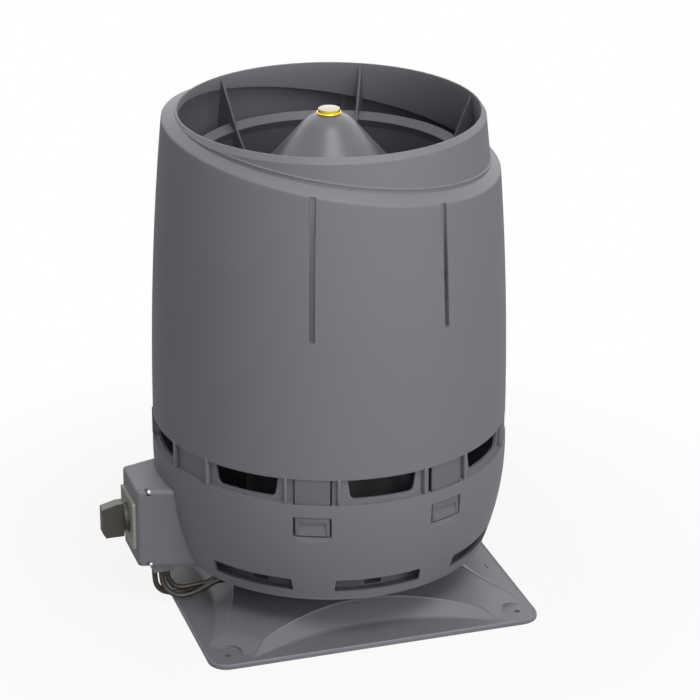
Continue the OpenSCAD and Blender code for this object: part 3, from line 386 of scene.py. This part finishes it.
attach(base, "root")
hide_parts("base_plate")

# Seal, riser and grommet: a sponge rubber seal runs round low in the flange, a galvanised
# steel riser stands in the collar, and a rubber grommet takes the cables in.
def metal(name, colour, roughness, grain):
    """A bare metal whose gloss wanders over spots of grain millimetres."""
    paint = bpy.data.materials.new(name)
    paint.use_nodes = True
    tree = paint.node_tree
    tree.nodes.clear()
    place = add(tree, "ShaderNodeTexCoord")
    spots = add(tree, "ShaderNodeTexVoronoi", {"Vector": place.outputs["Object"], "Scale": 1 / (grain * MM)})
    rough = add(tree, "ShaderNodeMapRange", {
        "Value": spots.outputs["Distance"],
        "To Min": roughness - 0.08,
        "To Max": roughness + 0.08,
    })
    tint = add(tree, "ShaderNodeMapRange", {
        "Value": spots.outputs["Distance"],
        "To Min": 1.06,
        "To Max": 0.94,
    })
    tone = add(tree, "ShaderNodeHueSaturation", {"Color": linear(colour), "Value": tint.outputs[0]})
    skin = add(tree, "ShaderNodeBsdfPrincipled", {
        "Base Color": tone.outputs[0],
        "Metallic": 1.0,
        "Roughness": rough.outputs[0],
    })
    add(tree, "ShaderNodeOutputMaterial", {"Surface": skin.outputs[0]})
    return paint


def coat(node, paint):
    """Give a CAD node its finish."""
    piece = nodes[node]
    if not piece.data.materials:
        piece.data.materials.append(paint)
    for place in piece.material_slots:
        place.material = paint


seal_rubber = moulded("sponge_rubber", "#1c1c1d", roughness=0.85, grain=1.4, depth=0.2)
galvanised = metal("galvanised_steel", "#9a9da0", 0.42, grain=7)
coat("base_seal", seal_rubber)
coat("inlet_riser", galvanised)
coat("duct_seal", seal_rubber)
coat("cable_grommet", seal_rubber)

# Lower body: a barrel-shaped skirt moulded in grey weatherproof plastic, with a ledge and a
# recess wall for the air slots, drain windows at its foot, and a gutter wall behind them.
shell_plastic = moulded("grey_asa", "#78777e")
coat("lower_body", shell_plastic)

# Screws: zinc-plated steel with a flat-topped head and a round recess. Eight hold the body,
# six the nozzle's floor, four the motor, four the impeller and four the switch box's cover.
zinc = metal("zinc_plated_steel", "#c8cacc", 0.3, grain=2)
for node in ("body_screws", "floor_screws", "motor_screws", "impeller_screws", "box_screws"):
    coat(node, zinc)

# Wiring: the supply terminals stand in the collar. Two supply cables and the motor's cable
# run from the gland over the plate into the grommet, and a plug joins the hood's lead.
pale_plastic = moulded("cream_polyamide", "#cfcdc4", roughness=0.5)
black_plastic = moulded("black_polyamide", "#2a2a2d", roughness=0.5)
cable_jacket = moulded("rubber_jacket", "#3a3530", roughness=0.42, grain=1.2, depth=0.03)
coat("terminal_block", pale_plastic)
coat("connector_socket", black_plastic)
coat("connector_plug", black_plastic)
JACKET_STEP = 2.5
CABLES = {
    "supply_cable_1": ("root", 5.4, [
        (-171.5, -19, 39.7), (-171.5, -19, 34), (-170, -19.5, 26), (-165, -20.3, 19), (-157, -21.5, 16.5),
        (-147, -23.5, 18), (-137, -27, 20.5), (-127, -31.5, 23.5), (-118, -35, 25), (-110, -35.6, 25.5),
        (-102.7, -33.4, 25.5), (-97.5, -31.7, 25.5), (-94.5, -30.7, 25.5), (-91.3, -30.4, 25.5),
        (-88.6, -32.2, 25.5), (-86.8, -35.5, 25.5), (-85, -40, 25.5), (-82.5, -45.2, 25.5),
        (-79.6, -49.9, 25.5), (-76.4, -53.7, 25.5)]),
    "supply_cable_2": ("root", 5.4, [
        (-177.5, -20, 39.7), (-177.5, -20.5, 32), (-176, -22, 22), (-170, -25, 14), (-160, -27.5, 10.5),
        (-149, -30.5, 13), (-138, -34.5, 19.5), (-128, -39, 27), (-118, -42, 32), (-109.5, -41.3, 33.5),
        (-101, -38.6, 33.5), (-95.5, -36.8, 33.5), (-91.8, -35.9, 33.5), (-89, -37.2, 33.5), (-87, -40, 33.5),
        (-85, -43.7, 33.5), (-82.3, -47.2, 33.5), (-79.6, -49.9, 33.5), (-76.4, -53.7, 33.5)]),
    "motor_cable": ("root", 5.4, [
        (-183.5, -17, 39.7), (-183.5, -17, 31), (-182, -17.5, 21), (-176, -18, 13.5), (-166, -18.5, 10.5),
        (-156, -19, 10.5), (-147, -19.5, 12), (-137, -21, 16), (-128, -24, 22), (-119.5, -28, 28.5),
        (-112, -30.4, 32.5), (-104.4, -28.1, 33.5), (-98.5, -26.2, 33.5), (-93, -24.4, 33.5),
        (-90.3, -20.5, 34), (-89.8, -15, 35.5), (-90, -9, 38), (-90.3, -3.5, 41), (-90.5, -0.8, 46),
        (-90.5, 0, 53), (-90.5, 0, 70), (-90.5, 0, 110), (-90.5, 0, 150), (-90.5, 0, 181)]),
    "motor_lead": ("hood", 4.8, [
        (-93, 0, 236.3), (-93, 0, 241), (-98, 3, 246), (-107, 6, 251), (-117, 8, 259), (-121, 9, 270),
        (-121, 9, 300), (-121, 9, 340), (-120.5, 9, 362), (-116, 8.5, 374), (-106, 8, 378.5), (-85, 7.5, 379),
        (-64, 7, 379), (-51, 6.5, 379)]),
}


def jacket_tree():
    """Geometry nodes: a round jacket with closed ends along the edges of a route."""
    tree = bpy.data.node_groups.new("cable_jacket", "GeometryNodeTree")
    tree.interface.new_socket("Route", in_out="INPUT", socket_type="NodeSocketGeometry")
    tree.interface.new_socket("Jacket Radius", in_out="INPUT", socket_type="NodeSocketFloat")
    tree.interface.new_socket("Spacing", in_out="INPUT", socket_type="NodeSocketFloat")
    tree.interface.new_socket("Finish", in_out="INPUT", socket_type="NodeSocketMaterial")
    tree.interface.new_socket("Jacket", in_out="OUTPUT", socket_type="NodeSocketGeometry")
    start = add(tree, "NodeGroupInput")
    line = add(tree, "GeometryNodeMeshToCurve", {"Mesh": start.outputs["Route"]})
    line = add(tree, "GeometryNodeCurveSplineType", {"Curve": line.outputs[0]}, spline_type="CATMULL_ROM")
    line = add(tree, "GeometryNodeResampleCurve", {
        "Curve": line.outputs[0],
        "Length": start.outputs["Spacing"],
    }, mode="LENGTH")
    ring = add(tree, "GeometryNodeCurvePrimitiveCircle", {
        "Resolution": 16,
        "Radius": start.outputs["Jacket Radius"],
    })
    tube = add(tree, "GeometryNodeCurveToMesh", {
        "Curve": line.outputs[0],
        "Profile Curve": ring.outputs[0],
        "Fill Caps": True,
    })
    tube = add(tree, "GeometryNodeRealizeInstances", {"Geometry": tube.outputs[0]})
    tube = add(tree, "GeometryNodeSetMaterial", {
        "Geometry": tube.outputs[0],
        "Material": start.outputs["Finish"],
    })
    add(tree, "NodeGroupOutput", {"Jacket": tube.outputs[0]})
    return tree


def grown(name, seed, tree, inputs):
    """The mesh that a Geometry Nodes tree makes of a seed mesh with these named inputs."""
    carrier = bpy.data.objects.new(name, seed)
    bpy.context.scene.collection.objects.link(carrier)
    step = carrier.modifiers.new(name, "NODES")
    step.node_group = tree
    for socket in tree.interface.items_tree:
        if socket.item_type == "SOCKET" and socket.name in inputs:
            step[socket.identifier] = inputs[socket.name]
    made = bpy.data.meshes.new_from_object(carrier.evaluated_get(bpy.context.evaluated_depsgraph_get()))
    bpy.data.objects.remove(carrier)
    return made


jacket = jacket_tree()
for node, (body, thick, route) in CABLES.items():
    seed = bpy.data.meshes.new(node + "_route")
    points = [(x * MM, y * MM, z * MM) for x, y, z in route]
    seed.from_pydata(points, [(i, i + 1) for i in range(len(route) - 1)], [])
    mesh = grown(node, seed, jacket, {
        "Jacket Radius": thick / 2 * MM,
        "Spacing": JACKET_STEP * MM,
        "Finish": cable_jacket,
    })
    cable = piece_of(node + "_jacket", mesh, cable_jacket, crease=60)
    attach(cable, body)
    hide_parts(node)

# Switch box: a two-part grey housing screwed to the body's side, with an olive-grey bezel, a
# dark turning handle and, below it, the gland block that the three cables leave straight down.
bezel_plastic = moulded("olive_polycarbonate", "#a0a196", roughness=0.45, edge=0.8)
knob_plastic = moulded("dark_polyamide", "#45423d", roughness=0.4, edge=0.8)
gland_plastic = moulded("light_grey_asa", "#7d7c83", edge=0.7)
coat("box_rear", shell_plastic)
coat("box_cover", shell_plastic)
coat("switch_bezel", bezel_plastic)
coat("switch_block", pale_plastic)
coat("switch_knob", knob_plastic)
coat("switch_shaft", zinc)
coat("gland_block", gland_plastic)

# Hood: a tall grey moulded shell whose shoulder is slanted. Its sloping band meets the wall
# in a small round bend, four grooves run down the wall, and sixteen ribs stand over the slots.
HOOD_EDGE_Z = 182.2
HOOD_EDGE_R = 172.2
HOOD_CURVE = 3000.0
HOOD_WALL = 3.0
RIM_Z = 486.7
RIM_R = 143.5
COLLAR_TAPER = 0.146
BAND_R = 158.0
# Slanted planes of the band: height on the axis, slope along x, slope along y.
BAND_EDGE = (456.7, -0.143, 0.060)
BAND_FOOT = (461.5, -0.160, 0.040)
BAND_FOOT_R = 148.0
SHOULDER_FILLET = 1.8
GROOVE_ANGLES = (22.5, 157.5, 202.5, -22.5)
GROOVE_HALF = 2.5
GROOVE_FOOT_Z = 319.0
GROOVE_FOOT_R = 163.6
GROOVE_TOP_R = 158.1
GROOVE_RISE = 143
GROOVE_LEAN = (GROOVE_TOP_R - GROOVE_FOOT_R) / GROOVE_RISE
GROOVE_COLUMNS = (0.0, 1.2, 2.1, 2.46, 2.54, 3.0, 4.0)
GROOVE_COLUMN_R = 165
HOOD_STEP = 1.5
WALL_ROWS = (186, 192, 200, 220, 240, 260, 280, 300, 312, 317, 318.6, 319.0, 319.4, 321, 326, 332)
UPPER_ROWS = 12


def slanted(numbers, x, y):
    """The height of a plane, given as its height on the axis and its slopes along x and y."""
    return numbers[0] + numbers[1] * x + numbers[2] * y


def wall_r(z):
    """The hood's outer radius: a wall that is slightly barrelled."""
    return HOOD_EDGE_R - HOOD_CURVE + math.sqrt(HOOD_CURVE ** 2 - (z - HOOD_EDGE_Z) ** 2)


def outlet_r(z):
    """The outer radius of the plain tapered outlet, which the band and the bore follow."""
    return RIM_R + COLLAR_TAPER * (RIM_Z - z)


def bent(corners, steps=4):
    """A closed outline of (r, z, rounding) corners, each rounding drawn as a smooth bend."""
    out = []
    for i, (r, z, rounding) in enumerate(corners):
        here = Vector((r, z))
        if rounding == 0:
            out.append(here)
            continue
        back = Vector(corners[i - 1][:2]) - here
        ahead = Vector(corners[(i + 1) % len(corners)][:2]) - here
        start = here + back.normalized() * min(rounding, back.length * 0.45)
        end = here + ahead.normalized() * min(rounding, ahead.length * 0.45)
        for k in range(steps + 1):
            t = k / steps
            out.append(start * (1 - t) ** 2 + here * 2 * t * (1 - t) + end * t * t)
    return out


def band_line(angle):
    """Where the sloping band meets the outlet collar and the wall at this angle."""
    s, c = math.sin(math.radians(angle)), -math.cos(math.radians(angle))
    edge_z = slanted(BAND_EDGE, BAND_R * s, BAND_R * c)
    foot_r = BAND_FOOT_R
    for _ in range(3):
        foot_z = slanted(BAND_FOOT, foot_r * s, foot_r * c)
        foot_r = outlet_r(foot_z)
    slope = (foot_z - edge_z) / (BAND_R - foot_r)
    corner_z = edge_z
    for _ in range(3):
        corner_r = wall_r(corner_z)
        corner_z = edge_z - slope * (corner_r - BAND_R)
    return foot_r, foot_z, corner_r, corner_z


def in_groove(angle, z):
    """Whether a point of the wall lies in one of the grooves."""
    across = min(abs((angle - a + 180) % 360 - 180) for a in GROOVE_ANGLES)
    return z >= GROOVE_FOOT_Z and math.radians(across) * wall_r(z) < GROOVE_HALF


def hood_section(angle):
    """The hood's outline at an angle, with the wall pushed in where a groove runs."""
    foot_r, foot_z, corner_r, corner_z = band_line(angle)
    top = corner_z - SHOULDER_FILLET - 2
    above = WALL_ROWS[-1]
    rows = list(WALL_ROWS) + [above + (top - above) * k / UPPER_ROWS for k in range(1, UPPER_ROWS + 1)]
    outer = [(HOOD_EDGE_R, HOOD_EDGE_Z, 0.8)] + [(wall_r(z), z, 0) for z in rows]
    outer += [(corner_r, corner_z, SHOULDER_FILLET), (foot_r - 1.0, foot_z + 0.5, 0)]
    inner = [(foot_r - 1.0, foot_z - 3, 0), (corner_r - HOOD_WALL, corner_z - HOOD_WALL - 1, 3)]
    inner += [(wall_r(z) - HOOD_WALL, z, 0) for z in (top - 10, 400, 340, 315, 308, 280, 220)]
    inner += [(HOOD_EDGE_R - HOOD_WALL, HOOD_EDGE_Z, 0.8)]
    outline = []
    for r, z in bent(outer + inner, 5):
        floor_r = GROOVE_FOOT_R + GROOVE_LEAN * (z - GROOVE_FOOT_Z)
        if in_groove(angle, z + 5) and z < top and r < wall_r(z) - HOOD_WALL + 1:
            r = min(r, floor_r - 2)
        elif in_groove(angle, z) and z < corner_z:
            r = min(r, floor_r)
        outline.append((r, z))
    return outline


angles = [k * HOOD_STEP for k in range(int(360 / HOOD_STEP))]
for a in GROOVE_ANGLES:
    for w in GROOVE_COLUMNS:
        aside = math.degrees(w / GROOVE_COLUMN_R)
        angles += [(a + aside) % 360, (a - aside) % 360]
angles = sorted(angles)
angles = [a for i, a in enumerate(angles) if i == 0 or a - angles[i - 1] > 0.02]
hood = piece_of("hood", swept("hood", hood_section, angles), shell_plastic, crease=35)
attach(hood, "hood")
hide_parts("hood_shell")

# Ribs: a pair beside each post between two air slots, moulded on the hood's lower edge.
RIB_PAIR = 24.9
RIB_HALF = 1.4
RIB_IN, RIB_OUT = 166.6, 171.3
RIB_LOW, RIB_HIGH = 157.3, 184.0
POSTS = 8


def ring_tree():
    """Geometry nodes: copies of a part, turned round the axis at equal steps."""
    tree = bpy.data.node_groups.new("ring_of_copies", "GeometryNodeTree")
    tree.interface.new_socket("Part", in_out="INPUT", socket_type="NodeSocketGeometry")
    tree.interface.new_socket("Copies", in_out="INPUT", socket_type="NodeSocketInt")
    tree.interface.new_socket("First Turn", in_out="INPUT", socket_type="NodeSocketFloat")
    tree.interface.new_socket("Finish", in_out="INPUT", socket_type="NodeSocketMaterial")
    tree.interface.new_socket("Ring", in_out="OUTPUT", socket_type="NodeSocketGeometry")
    start = add(tree, "NodeGroupInput")
    spots = add(tree, "GeometryNodePoints", {"Count": start.outputs["Copies"]})
    number = add(tree, "GeometryNodeInputIndex")
    step = add(tree, "ShaderNodeMath", {0: 2 * math.pi, 1: start.outputs["Copies"]}, operation="DIVIDE")
    turn = add(tree, "ShaderNodeMath", {
        0: number.outputs[0],
        1: step.outputs[0],
        2: start.outputs["First Turn"],
    }, operation="MULTIPLY_ADD")
    way = add(tree, "ShaderNodeCombineXYZ", {"Z": turn.outputs[0]})
    ring = add(tree, "GeometryNodeInstanceOnPoints", {
        "Points": spots.outputs[0],
        "Instance": start.outputs["Part"],
        "Rotation": way.outputs[0],
    })
    ring = add(tree, "GeometryNodeRealizeInstances", {"Geometry": ring.outputs[0]})
    ring = add(tree, "GeometryNodeSetMaterial", {
        "Geometry": ring.outputs[0],
        "Material": start.outputs["Finish"],
    })
    add(tree, "NodeGroupOutput", {"Ring": ring.outputs[0]})
    return tree


def bar(work, low, high, rounding):
    """Add a bar with rounded edges between two corners, in mm, to a bmesh."""
    low, high = Vector(low) * MM, Vector(high) * MM
    size = high - low
    place = Matrix.Translation((low + high) / 2) @ Matrix.Diagonal((*size, 1))
    made = bmesh.ops.create_cube(work, size=1, matrix=place)
    edges = list(dict.fromkeys(e for v in made["verts"] for e in v.link_edges))
    bmesh.ops.bevel(work, geom=edges, offset=rounding * MM, segments=3, profile=0.5, affect="EDGES")


def in_order(work):
    """Sort the faces of a bmesh by where they are. Bevel leaves them in an order that changes
    from run to run."""
    faces = sorted(work.faces, key=lambda face: face.calc_center_median()[:])
    for number, face in enumerate(faces):
        face.index = number
    work.faces.sort()


ring_of_copies = ring_tree()
work = bmesh.new()
for side in (-1, 1):
    middle = side * RIB_PAIR
    bar(work, (middle - RIB_HALF, -RIB_OUT, RIB_LOW), (middle + RIB_HALF, -RIB_IN, RIB_HIGH), 0.6)
in_order(work)
seed = bpy.data.meshes.new("rib_pair")
work.to_mesh(seed)
work.free()
mesh = grown("ribs", seed, ring_of_copies, {
    "Copies": POSTS,
    "First Turn": math.pi / POSTS,
    "Finish": shell_plastic,
})
ribs = piece_of("hood_ribs", mesh, shell_plastic)
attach(ribs, "hood")
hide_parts("hood_shell")

# Latches: four sprung tongues that hang from the hood's edge into the body's wall. The end
# of each is a push button in a window of the body, with a raised frame round the thumb's place.
latch_plastic = moulded("dark_grey_asa", "#6a696f")
LATCHES = {
    "latch_front_right": 22.5,
    "latch_back_right": 157.5,
    "latch_back_left": 202.5,
    "latch_front_left": -22.5,
}
TONGUE_R = 171.0
FRAME_R = 172.2
# Button: half its width, bottom, top. Thumb's place in it: half its width, top.
BUTTON = (16.2, 125.1, 143.2)
THUMB = (12.6, 137.5)
THUMB_R = 170.2
THUMB_DEEP_R = 170.3
THUMB_SPLIT_Z = 130
THUMB_DEPTH = 2.4


def on_the_round(work, radius, angle):
    """Bend what was drawn flat, x along the wall, y out of it as -r, onto the round wall."""
    for k in range(-4, 5):
        bmesh.ops.bisect_plane(work, geom=work.verts[:] + work.edges[:] + work.faces[:],
                               plane_co=(k * 4 * MM, 0, 0), plane_no=(1, 0, 0))
    for v in work.verts:
        turn = v.co.x / (radius * MM) + math.radians(angle)
        v.co = (-v.co.y * math.sin(turn), v.co.y * math.cos(turn), v.co.z)


for node, angle in LATCHES.items():
    coat(node, latch_plastic)
    work = bmesh.new()
    half, low, high = BUTTON
    bar(work, (-half, -FRAME_R, THUMB[1]), (half, -TONGUE_R + 0.3, high), 0.5)
    for side in (-1, 1):
        ends = sorted((side * THUMB[0], side * half))
        bar(work, (ends[0], -FRAME_R, low), (ends[1], -TONGUE_R + 0.3, THUMB[1] + 0.6), 0.5)
    middle = Vector((0, -THUMB_R, (low + THUMB[1]) / 2)) * MM
    size = (THUMB[0] * 2 * MM, THUMB_DEPTH * MM, (THUMB[1] - low) * MM, 1)
    ramp = bmesh.ops.create_cube(work, size=1, matrix=Matrix.Translation(middle) @ Matrix.Diagonal(size))
    for v in ramp["verts"]:
        if v.co.y < -THUMB_R * MM:
            v.co.y = (-THUMB_DEEP_R if v.co.z > THUMB_SPLIT_Z * MM else -FRAME_R + 0.2) * MM
    on_the_round(work, FRAME_R, angle)
    in_order(work)
    mesh = bpy.data.meshes.new(node + "_button")
    work.to_mesh(mesh)
    work.free()
    button = piece_of(node + "_button", mesh, latch_plastic)
    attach(button, node)

# Outlet collar: the short tapered tube round the outlet, moulded as a ring with a chamfered
# rim and bonded into the hood's slanted shoulder.
OUTLET_WALL = 2.8
COLLAR_R0 = 147.4
COLLAR_SLOPE = 0.11
# The rim's chamfer: how far in, how far down.
RIM_CHAMFER = (3.6, 5.5)
RIM_LIP = 1.4
BEAD_UP = 3.0
BEAD_OUT = 0.9


def collar_r(z):
    """The collar's outer radius: a tapered wall with a wide chamfer under the rim."""
    below = RIM_Z - RIM_CHAMFER[1] - z
    if below > 0:
        return COLLAR_R0 + COLLAR_SLOPE * below
    return COLLAR_R0 + RIM_CHAMFER[0] * below / RIM_CHAMFER[1]


def collar_section(angle):
    """The collar's wall with a thin bead at its foot, which fades out where the band is high."""
    foot_z = band_line(angle)[1]
    low = foot_z - 5
    room = RIM_Z - foot_z
    bead_z = foot_z + min(BEAD_UP, room * 0.4)
    bead_out = BEAD_OUT * min(1, max(0, (room - 3) / 10))
    out = [
        (collar_r(low), low),
        (collar_r(bead_z - 1.7), bead_z - 1.7),
        (collar_r(bead_z - 1.6) + bead_out, bead_z - 1.6),
        (collar_r(bead_z - 0.5) + bead_out, bead_z - 0.5),
    ]
    start = bead_z + 0.2
    turn = max(start, RIM_Z - RIM_CHAMFER[1])
    rows = [start + (turn - 0.4 - start) * k / 4 for k in range(5)] + [turn]
    rows += [turn + (RIM_Z - turn) * k / 8 for k in (1, 4, 7, 8)]
    out += [(collar_r(z), z) for z in rows]
    lip = collar_r(RIM_Z) - RIM_LIP
    out += [(lip + 0.3, RIM_Z), (lip, RIM_Z - 0.3)]
    out += [(outlet_r(RIM_Z - 8) - OUTLET_WALL, RIM_Z - 8), (outlet_r(low) - OUTLET_WALL, low)]
    return out


collar = piece_of("collar", swept("collar", collar_section, angles), shell_plastic)
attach(collar, "hood")
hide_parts("outlet_collar")

# Nozzle: a dark moulded duct with a flared lip inside the hood. Its six guide fins reach out
# to the outlet collar and in to the motor's carrier, and a floor closes it below.
dark_plastic = moulded("charcoal_abs", "#545358", roughness=0.5)
coat("nozzle_duct", dark_plastic)
coat("nozzle_floor", dark_plastic)
coat("inlet_nozzle", galvanised)

# Motor: an external-rotor motor of cast aluminium under a cast carrier, its bright steel
# shaft in two bearings.
cast = metal("cast_aluminium", "#8c8f92", 0.5, grain=1.5)
coat("motor_carrier", cast)
coat("motor_stator", cast)
coat("rotor_can", cast)
coat("motor_bearings", zinc)
coat("motor_shaft", zinc)

# Cone cover: a dark moulded bell with a round nose over the motor. A brass cup in the nose
# holds the round bubble level, yellow-green liquid under a cream lens.
# Foot: radius, height. Nose: height of its mouth, radius of its ball, radius of the mouth.
CONE_FOOT = (98.0, 386.0)
CONE_NOSE = (481.5, 34.0, 10.4)
CONE_SLOPE = 1.14
CONE_WALL = 2.5
CONE_BRIM = 12
LEVEL_Z = 481.5


def turned(name, outline, sides=180):
    """A solid of revolution from a closed (r, z) outline in mm."""
    return swept(name, lambda angle: outline, [k * 360 / sides for k in range(sides)])


nose_z, nose_r, mouth_r = CONE_NOSE
centre_z = nose_z - math.sqrt(nose_r ** 2 - mouth_r ** 2)
tangent = math.atan(CONE_SLOPE)
outer = []
for k in range(13):
    lean = math.asin(mouth_r / nose_r) + (tangent - math.asin(mouth_r / nose_r)) * k / 12
    outer.append((nose_r * math.sin(lean), centre_z + nose_r * math.cos(lean)))
start_r, start_z = outer[-1]
foot_r, foot_z = CONE_FOOT
brim_r = start_r + (start_z - foot_z - CONE_BRIM) / CONE_SLOPE
outer += [(start_r + (brim_r - start_r) * k / 8, start_z - (brim_r - start_r) * k / 8 * CONE_SLOPE)
          for k in range(1, 8)]
outer += [(brim_r, foot_z + 12.4), (brim_r + 1, foot_z + 11.6), (foot_r - 1, foot_z + 10.6),
          (foot_r, foot_z + 9.6), CONE_FOOT]
inner = [(max(mouth_r, r - CONE_WALL * 0.75), z - CONE_WALL * 0.65) for r, z in reversed(outer[:-1])]
outline = outer + [(foot_r - CONE_WALL, foot_z)] + inner
cone_plastic = moulded("bell_abs", "#65646a", roughness=0.36)
cone = piece_of("cone", turned("cone", outline), cone_plastic)
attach(cone, "hood")
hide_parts("cone_cover")

brass = metal("turned_brass", "#c9a24a", 0.25, grain=1)
level_lens = moulded("cream_acrylic", "#f0dfc0", roughness=0.15, depth=0.1)


def liquid(name, middle, edge):
    """Coloured liquid in a round vial: bright where it is seen straight on, dark at the sides, where the dark
    colour is painted shade standing in for the vial's shadow.
    """
    paint = bpy.data.materials.new(name)
    paint.use_nodes = True
    tree = paint.node_tree
    tree.nodes.clear()
    facing = add(tree, "ShaderNodeLayerWeight", {"Blend": 0.5})
    share = add(tree, "ShaderNodeMapRange", {
        "Value": facing.outputs["Facing"],
        "From Min": 0.35,
        "From Max": 0.75,
    })
    tone = add(tree, "ShaderNodeMix", {0: share.outputs[0], 6: linear(middle), 7: linear(edge)},
               data_type="RGBA")
    skin = add(tree, "ShaderNodeBsdfPrincipled", {"Base Color": tone.outputs[2], "Roughness": 0.1})
    add(tree, "ShaderNodeOutputMaterial", {"Surface": skin.outputs[0]})
    return paint


# Yellow liquid; the dark brown is painted shade at the vial's sides.
level_liquid = liquid("level_liquid", "#f4ee20", "#3a2a10")
z = LEVEL_Z
LEVEL = {
    "level_ring": ("level_cup", brass, "brass", [
        (6, z + 1.6), (6, z - 3), (11, z - 3), (12, z), (12, z + 0.9), (11.4, z + 1.6)]),
    "level_vial": ("level_fluid", level_liquid, "level_liquid", [
        (3, z + 3.2), (3, z + 1), (10.6, z + 1), (10.2, z + 3.9), (5, z + 3.9)]),
    "level_disc": ("level_lens", level_lens, "level_lens", [
        (0.02, z + 5.1), (0.02, z + 3.8), (10.2, z + 3.8), (10.4, z + 4.1), (10.0, z + 4.6),
        (6, z + 4.95)]),
}
for name, (node, paint, slot, outline) in LEVEL.items():
    piece = piece_of(name, turned(name, outline, 64), paint, crease=30)
    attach(piece, "hood")
    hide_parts(node)

# Impeller: backward-curved blades between a back plate and a shroud, moulded in dark
# glass-filled nylon, screwed to the rotor.
coat("impeller", black_plastic)
coat("impeller_shroud", black_plastic)
